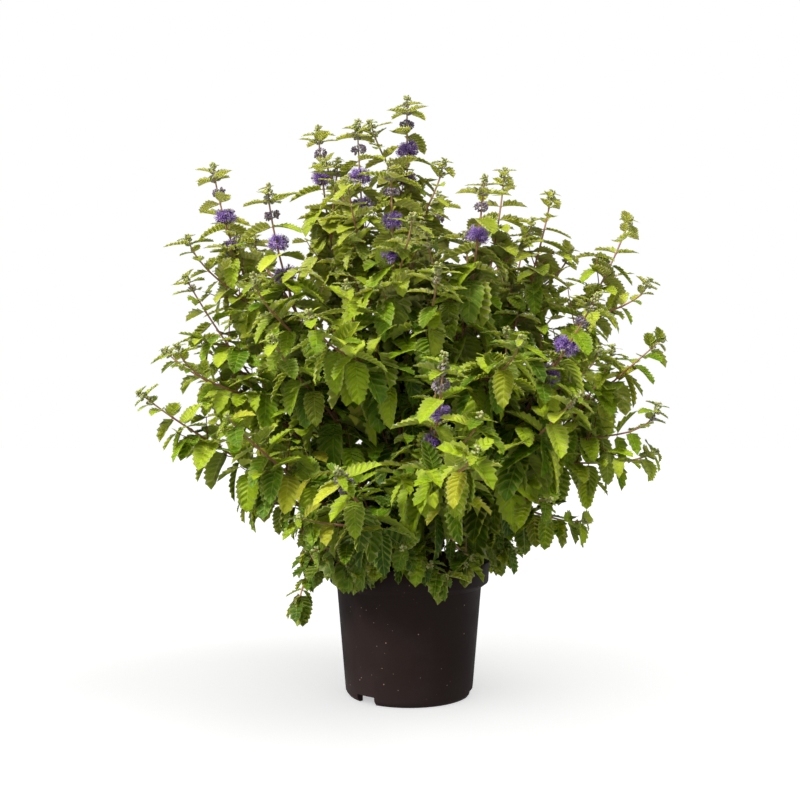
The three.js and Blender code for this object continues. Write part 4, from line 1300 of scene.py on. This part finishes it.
# Each flower whorl is two dense tufts on the two sides of a joint: small violet flowers with
# spreading petals and long stamens, grey-green cups below them, and buds that still are shut.
WHORL_RISE = 13
WHORL_RADIUS = 15.5
WHORL_POLE = 0.86
TOP_WHORL_SIZE = 0.8
WHORL_STAGES = (
    # from the top down: how many flowers, share still shut, fullness, flattening along the stem
    (104, 1.0, 0.86, 0.66),
    (88, 0.10, 1.0, 0.86),
    (88, 0.22, 1.0, 0.86),
)
CUP_FINISH = 0
PETAL_FINISH = 1
STAMEN_FINISH = 2
SHUT_FINISH = 3
PETALS = 5
PETAL_REACH = 1.7
PETAL_TILT = 52
STAMENS = 4
STAMEN_REACH = 0.9
STAMEN_LEAN = 16
STAMEN_TIP_REACH = 1.7
OLD_FLOWER_COLOUR = (104, 84, 70)
FLOWER_RELIEF = 0.0003
FLOWER_FINISHES = (
    # name, roughness, colours from dark to light
    ("flower_cup", 0.8, (94, 98, 62), (134, 136, 104), (168, 166, 144)),
    ("petal_violet", 0.6, (92, 58, 134), (138, 100, 184), (184, 154, 214)),
    ("stamen_violet", 0.6, (112, 78, 156), (156, 122, 194), (212, 194, 226)),
    ("shut_violet", 0.75, (104, 84, 116), (138, 122, 138), (170, 160, 160)),
)
FLOWER_SHARP_ANGLE = 60


def set_part(part):
    """Gives the faces just added to a shape their finish."""
    bpy.context.object.active_material_index = part
    bpy.ops.object.material_slot_assign()
    bpy.ops.mesh.select_all(action="DESELECT")


def start_shape():
    """A green cup, open for editing, with a slot for each finish of a flower."""
    bpy.ops.object.select_all(action="DESELECT")
    bpy.ops.mesh.primitive_cone_add(vertices=5, radius1=0.4, radius2=1.15, depth=2.8, location=(0, 0, 1.4))
    shape = bpy.context.object
    for _ in range(3):
        bpy.ops.object.material_slot_add()
    bpy.ops.object.transform_apply(location=True)
    bpy.ops.object.mode_set(mode="EDIT")
    bpy.ops.mesh.select_all(action="DESELECT")
    return shape


floret = start_shape()
for i in range(PETALS):
    turn = 2 * math.pi * i / PETALS
    bpy.ops.mesh.primitive_cone_add(
        vertices=3,
        radius1=0.5,
        radius2=1.15,
        depth=4.2,
        location=(PETAL_REACH * math.cos(turn), PETAL_REACH * math.sin(turn), 4.2),
        rotation=(0, math.radians(PETAL_TILT), turn),
        scale=(0.3, 1, 1),
    )
    set_part(PETAL_FINISH)
for i in range(STAMENS):
    turn = 2 * math.pi * (i + 0.3) / STAMENS
    bpy.ops.mesh.primitive_cone_add(
        vertices=3,
        radius1=0.2,
        radius2=0.16,
        depth=5.4,
        location=(STAMEN_REACH * math.cos(turn), STAMEN_REACH * math.sin(turn), 6.4),
        rotation=(0, math.radians(STAMEN_LEAN), turn),
    )
    set_part(STAMEN_FINISH)
    bpy.ops.mesh.primitive_cone_add(
        vertices=4,
        radius1=0.5,
        radius2=0,
        depth=0.8,
        location=(STAMEN_TIP_REACH * math.cos(turn), STAMEN_TIP_REACH * math.sin(turn), 9.2),
    )
    set_part(STAMEN_FINISH)
bpy.ops.object.mode_set(mode="OBJECT")
FLORET = template(floret)

shut = start_shape()
bpy.ops.mesh.primitive_uv_sphere_add(segments=5, ring_count=4, radius=1.5, location=(0, 0, 3.3))
set_part(PETAL_FINISH)
bpy.ops.object.mode_set(mode="OBJECT")
SHUT_FLORET = template(shut)


def flower_material(name, roughness, *colours):
    """A finish that varies from flower to flower and browns with age."""
    material, tree, shader, place = start_material(name, roughness)
    tone, _, age = tint_parts(tree)
    fine = speckle(tree, place, 0.0018, 3.0)
    colour = ramp(tree, stir(tree, tone, fine, 0.7), list(zip((0.0, 0.5, 1.0), colours)))
    colour = blend_colour(tree, ease(tree, age, 0.4, 1.0), colour, shade(*OLD_FLOWER_COLOUR))
    set_surface(tree, shader, colour, fine, FLOWER_RELIEF, 0.5)
    return material


flower_finishes = [flower_material(*row) for row in FLOWER_FINISHES]
chance = random.Random(23)
bloom_number = 0
for stem in stems:
    for whorl in range(stem.whorls):
        n = whorl + 2
        bloom_number += 1
        distance = joint_distance(n) - WHORL_RISE
        center = point_from_tip(stem.points, distance)
        along = direction_from_tip(stem.points, distance, 6)
        leaf_side = way_around(along, stem.reference, math.radians(PAIR_TURN + 90 * (n % 2)))
        share = (1 if whorl else TOP_WHORL_SIZE) * (1 + 0.06 * scatter(stem.index, n))
        count, shut_share, fullness, flatness = WHORL_STAGES[whorl]
        plant = PlantMesh()
        for _ in range(count):
            way = random_direction(along, -WHORL_POLE)
            if way.dot(along) > WHORL_POLE:
                way = (way - along * (way.dot(along) - 0.4)).normalized()
            rise = way.dot(along)
            level = (way - along * rise).normalized()
            lobe = 0.70 + 0.30 * abs(level.dot(leaf_side))
            is_shut = chance.random() < shut_share
            reach = WHORL_RADIUS * share * lobe * fullness * chance.uniform(0.88, 1.05)
            size = share * chance.uniform(0.86, 1.02)
            inner = max(0.4, reach - 2.2 - size * (4.8 if is_shut else 9.4))
            start = center + level * (1.8 + inner * way.dot(level)) + along * (inner * rise * flatness)
            tint = (chance.random(), chance.random(), max(0, chance.uniform(-0.8, 1.0)) if whorl == 2 else 0)
            shape = SHUT_FLORET if is_shut else FLORET
            finishes = (CUP_FINISH, SHUT_FINISH if is_shut else PETAL_FINISH, STAMEN_FINISH)
            place_copy(plant, shape, start, way, size, finishes, tint)
        name = f"bloom_{bloom_number:02d}"
        piece = plant.piece(f"flower_{name}", flower_finishes, FLOWER_SHARP_ANGLE)
        finish_piece(piece, name)


# A plain white floor in a white room, lit by a soft key light from the left in front, where the
# room is brighter too, and by a weak one from the right. The key light leaves the floor out.
FLOOR_SIZE = 30
# Each grey of the floor as it lights the plant, and as the camera sees it.
FLOOR_GREYS = {"Base Color": (0.46, 0.76), "Emission Color": (0.28, 0.5)}
BRIGHT_SIDE = (-0.8, -0.9, 0.75)
ROOM_LIGHT = 0.42
ROOM_GLOW = 0.9
KEY_SIDE = (-0.85, -0.7, 1.05)
KEY_STRENGTH = 4.1
KEY_SPREAD = 14
WEAK_SIDE = (0.9, -0.2, 1.5)
WEAK_STRENGTH = 0.6
WEAK_SPREAD = 35

bpy.ops.object.select_all(action="DESELECT")
bpy.ops.mesh.primitive_plane_add(size=FLOOR_SIZE)
floor = bpy.context.object
floor.name = "floor"
paper, tree, shader, place = start_material("white_floor", 0.9)
is_seen = tree.nodes.new("ShaderNodeLightPath").outputs["Is Camera Ray"]
for socket, (lighting, seen) in FLOOR_GREYS.items():
    grey = blend_colour(tree, is_seen, (lighting, lighting, lighting, 1), (seen, seen, seen, 1))
    tree.links.new(grey, shader.inputs[socket])
shader.inputs["Emission Strength"].default_value = 1
floor.data.materials.append(paper)


def add_sun(name, source, strength, spread):
    """A far soft light that shines from a direction."""
    light = bpy.data.lights.new(name, "SUN")
    light.energy = strength
    light.angle = math.radians(spread)
    made = bpy.data.objects.new(name, light)
    made.rotation_euler = (-Vector(source)).to_track_quat("-Z", "Y").to_euler()
    scene.collection.objects.link(made)
    return made


key = add_sun("key", KEY_SIDE, KEY_STRENGTH, KEY_SPREAD)
add_sun("high", WEAK_SIDE, WEAK_STRENGTH, WEAK_SPREAD)
beside_key = bpy.data.collections.new("beside_key")
beside_key.objects.link(floor)
beside_key.collection_objects[0].light_linking.link_state = "EXCLUDE"
key.light_linking.receiver_collection = beside_key
world = bpy.data.worlds.new("room")
world.use_nodes = True
tree = world.node_tree
room_light = tree.nodes["Background"]
room_light.inputs["Color"].default_value = (1, 1, 1, 1)
way = add_node(tree, "ShaderNodeTexCoord").outputs["Generated"]
directions = {0: way, 1: Vector(BRIGHT_SIDE).normalized()}
facing = add_node(tree, "ShaderNodeVectorMath", directions, operation="DOT_PRODUCT").outputs["Value"]
glow = calc(tree, "POWER", calc(tree, "MAXIMUM", facing, 0), 2)
lit = calc(tree, "MULTIPLY_ADD", glow, ROOM_GLOW, ROOM_LIGHT)
is_seen = tree.nodes.new("ShaderNodeLightPath").outputs["Is Camera Ray"]
strength = add_node(tree, "ShaderNodeMix", {0: is_seen, 2: lit, 3: 1.0}, data_type="FLOAT").outputs[0]
tree.links.new(strength, room_light.inputs["Strength"])
scene.world = world
scene.view_settings.view_transform = "Standard"
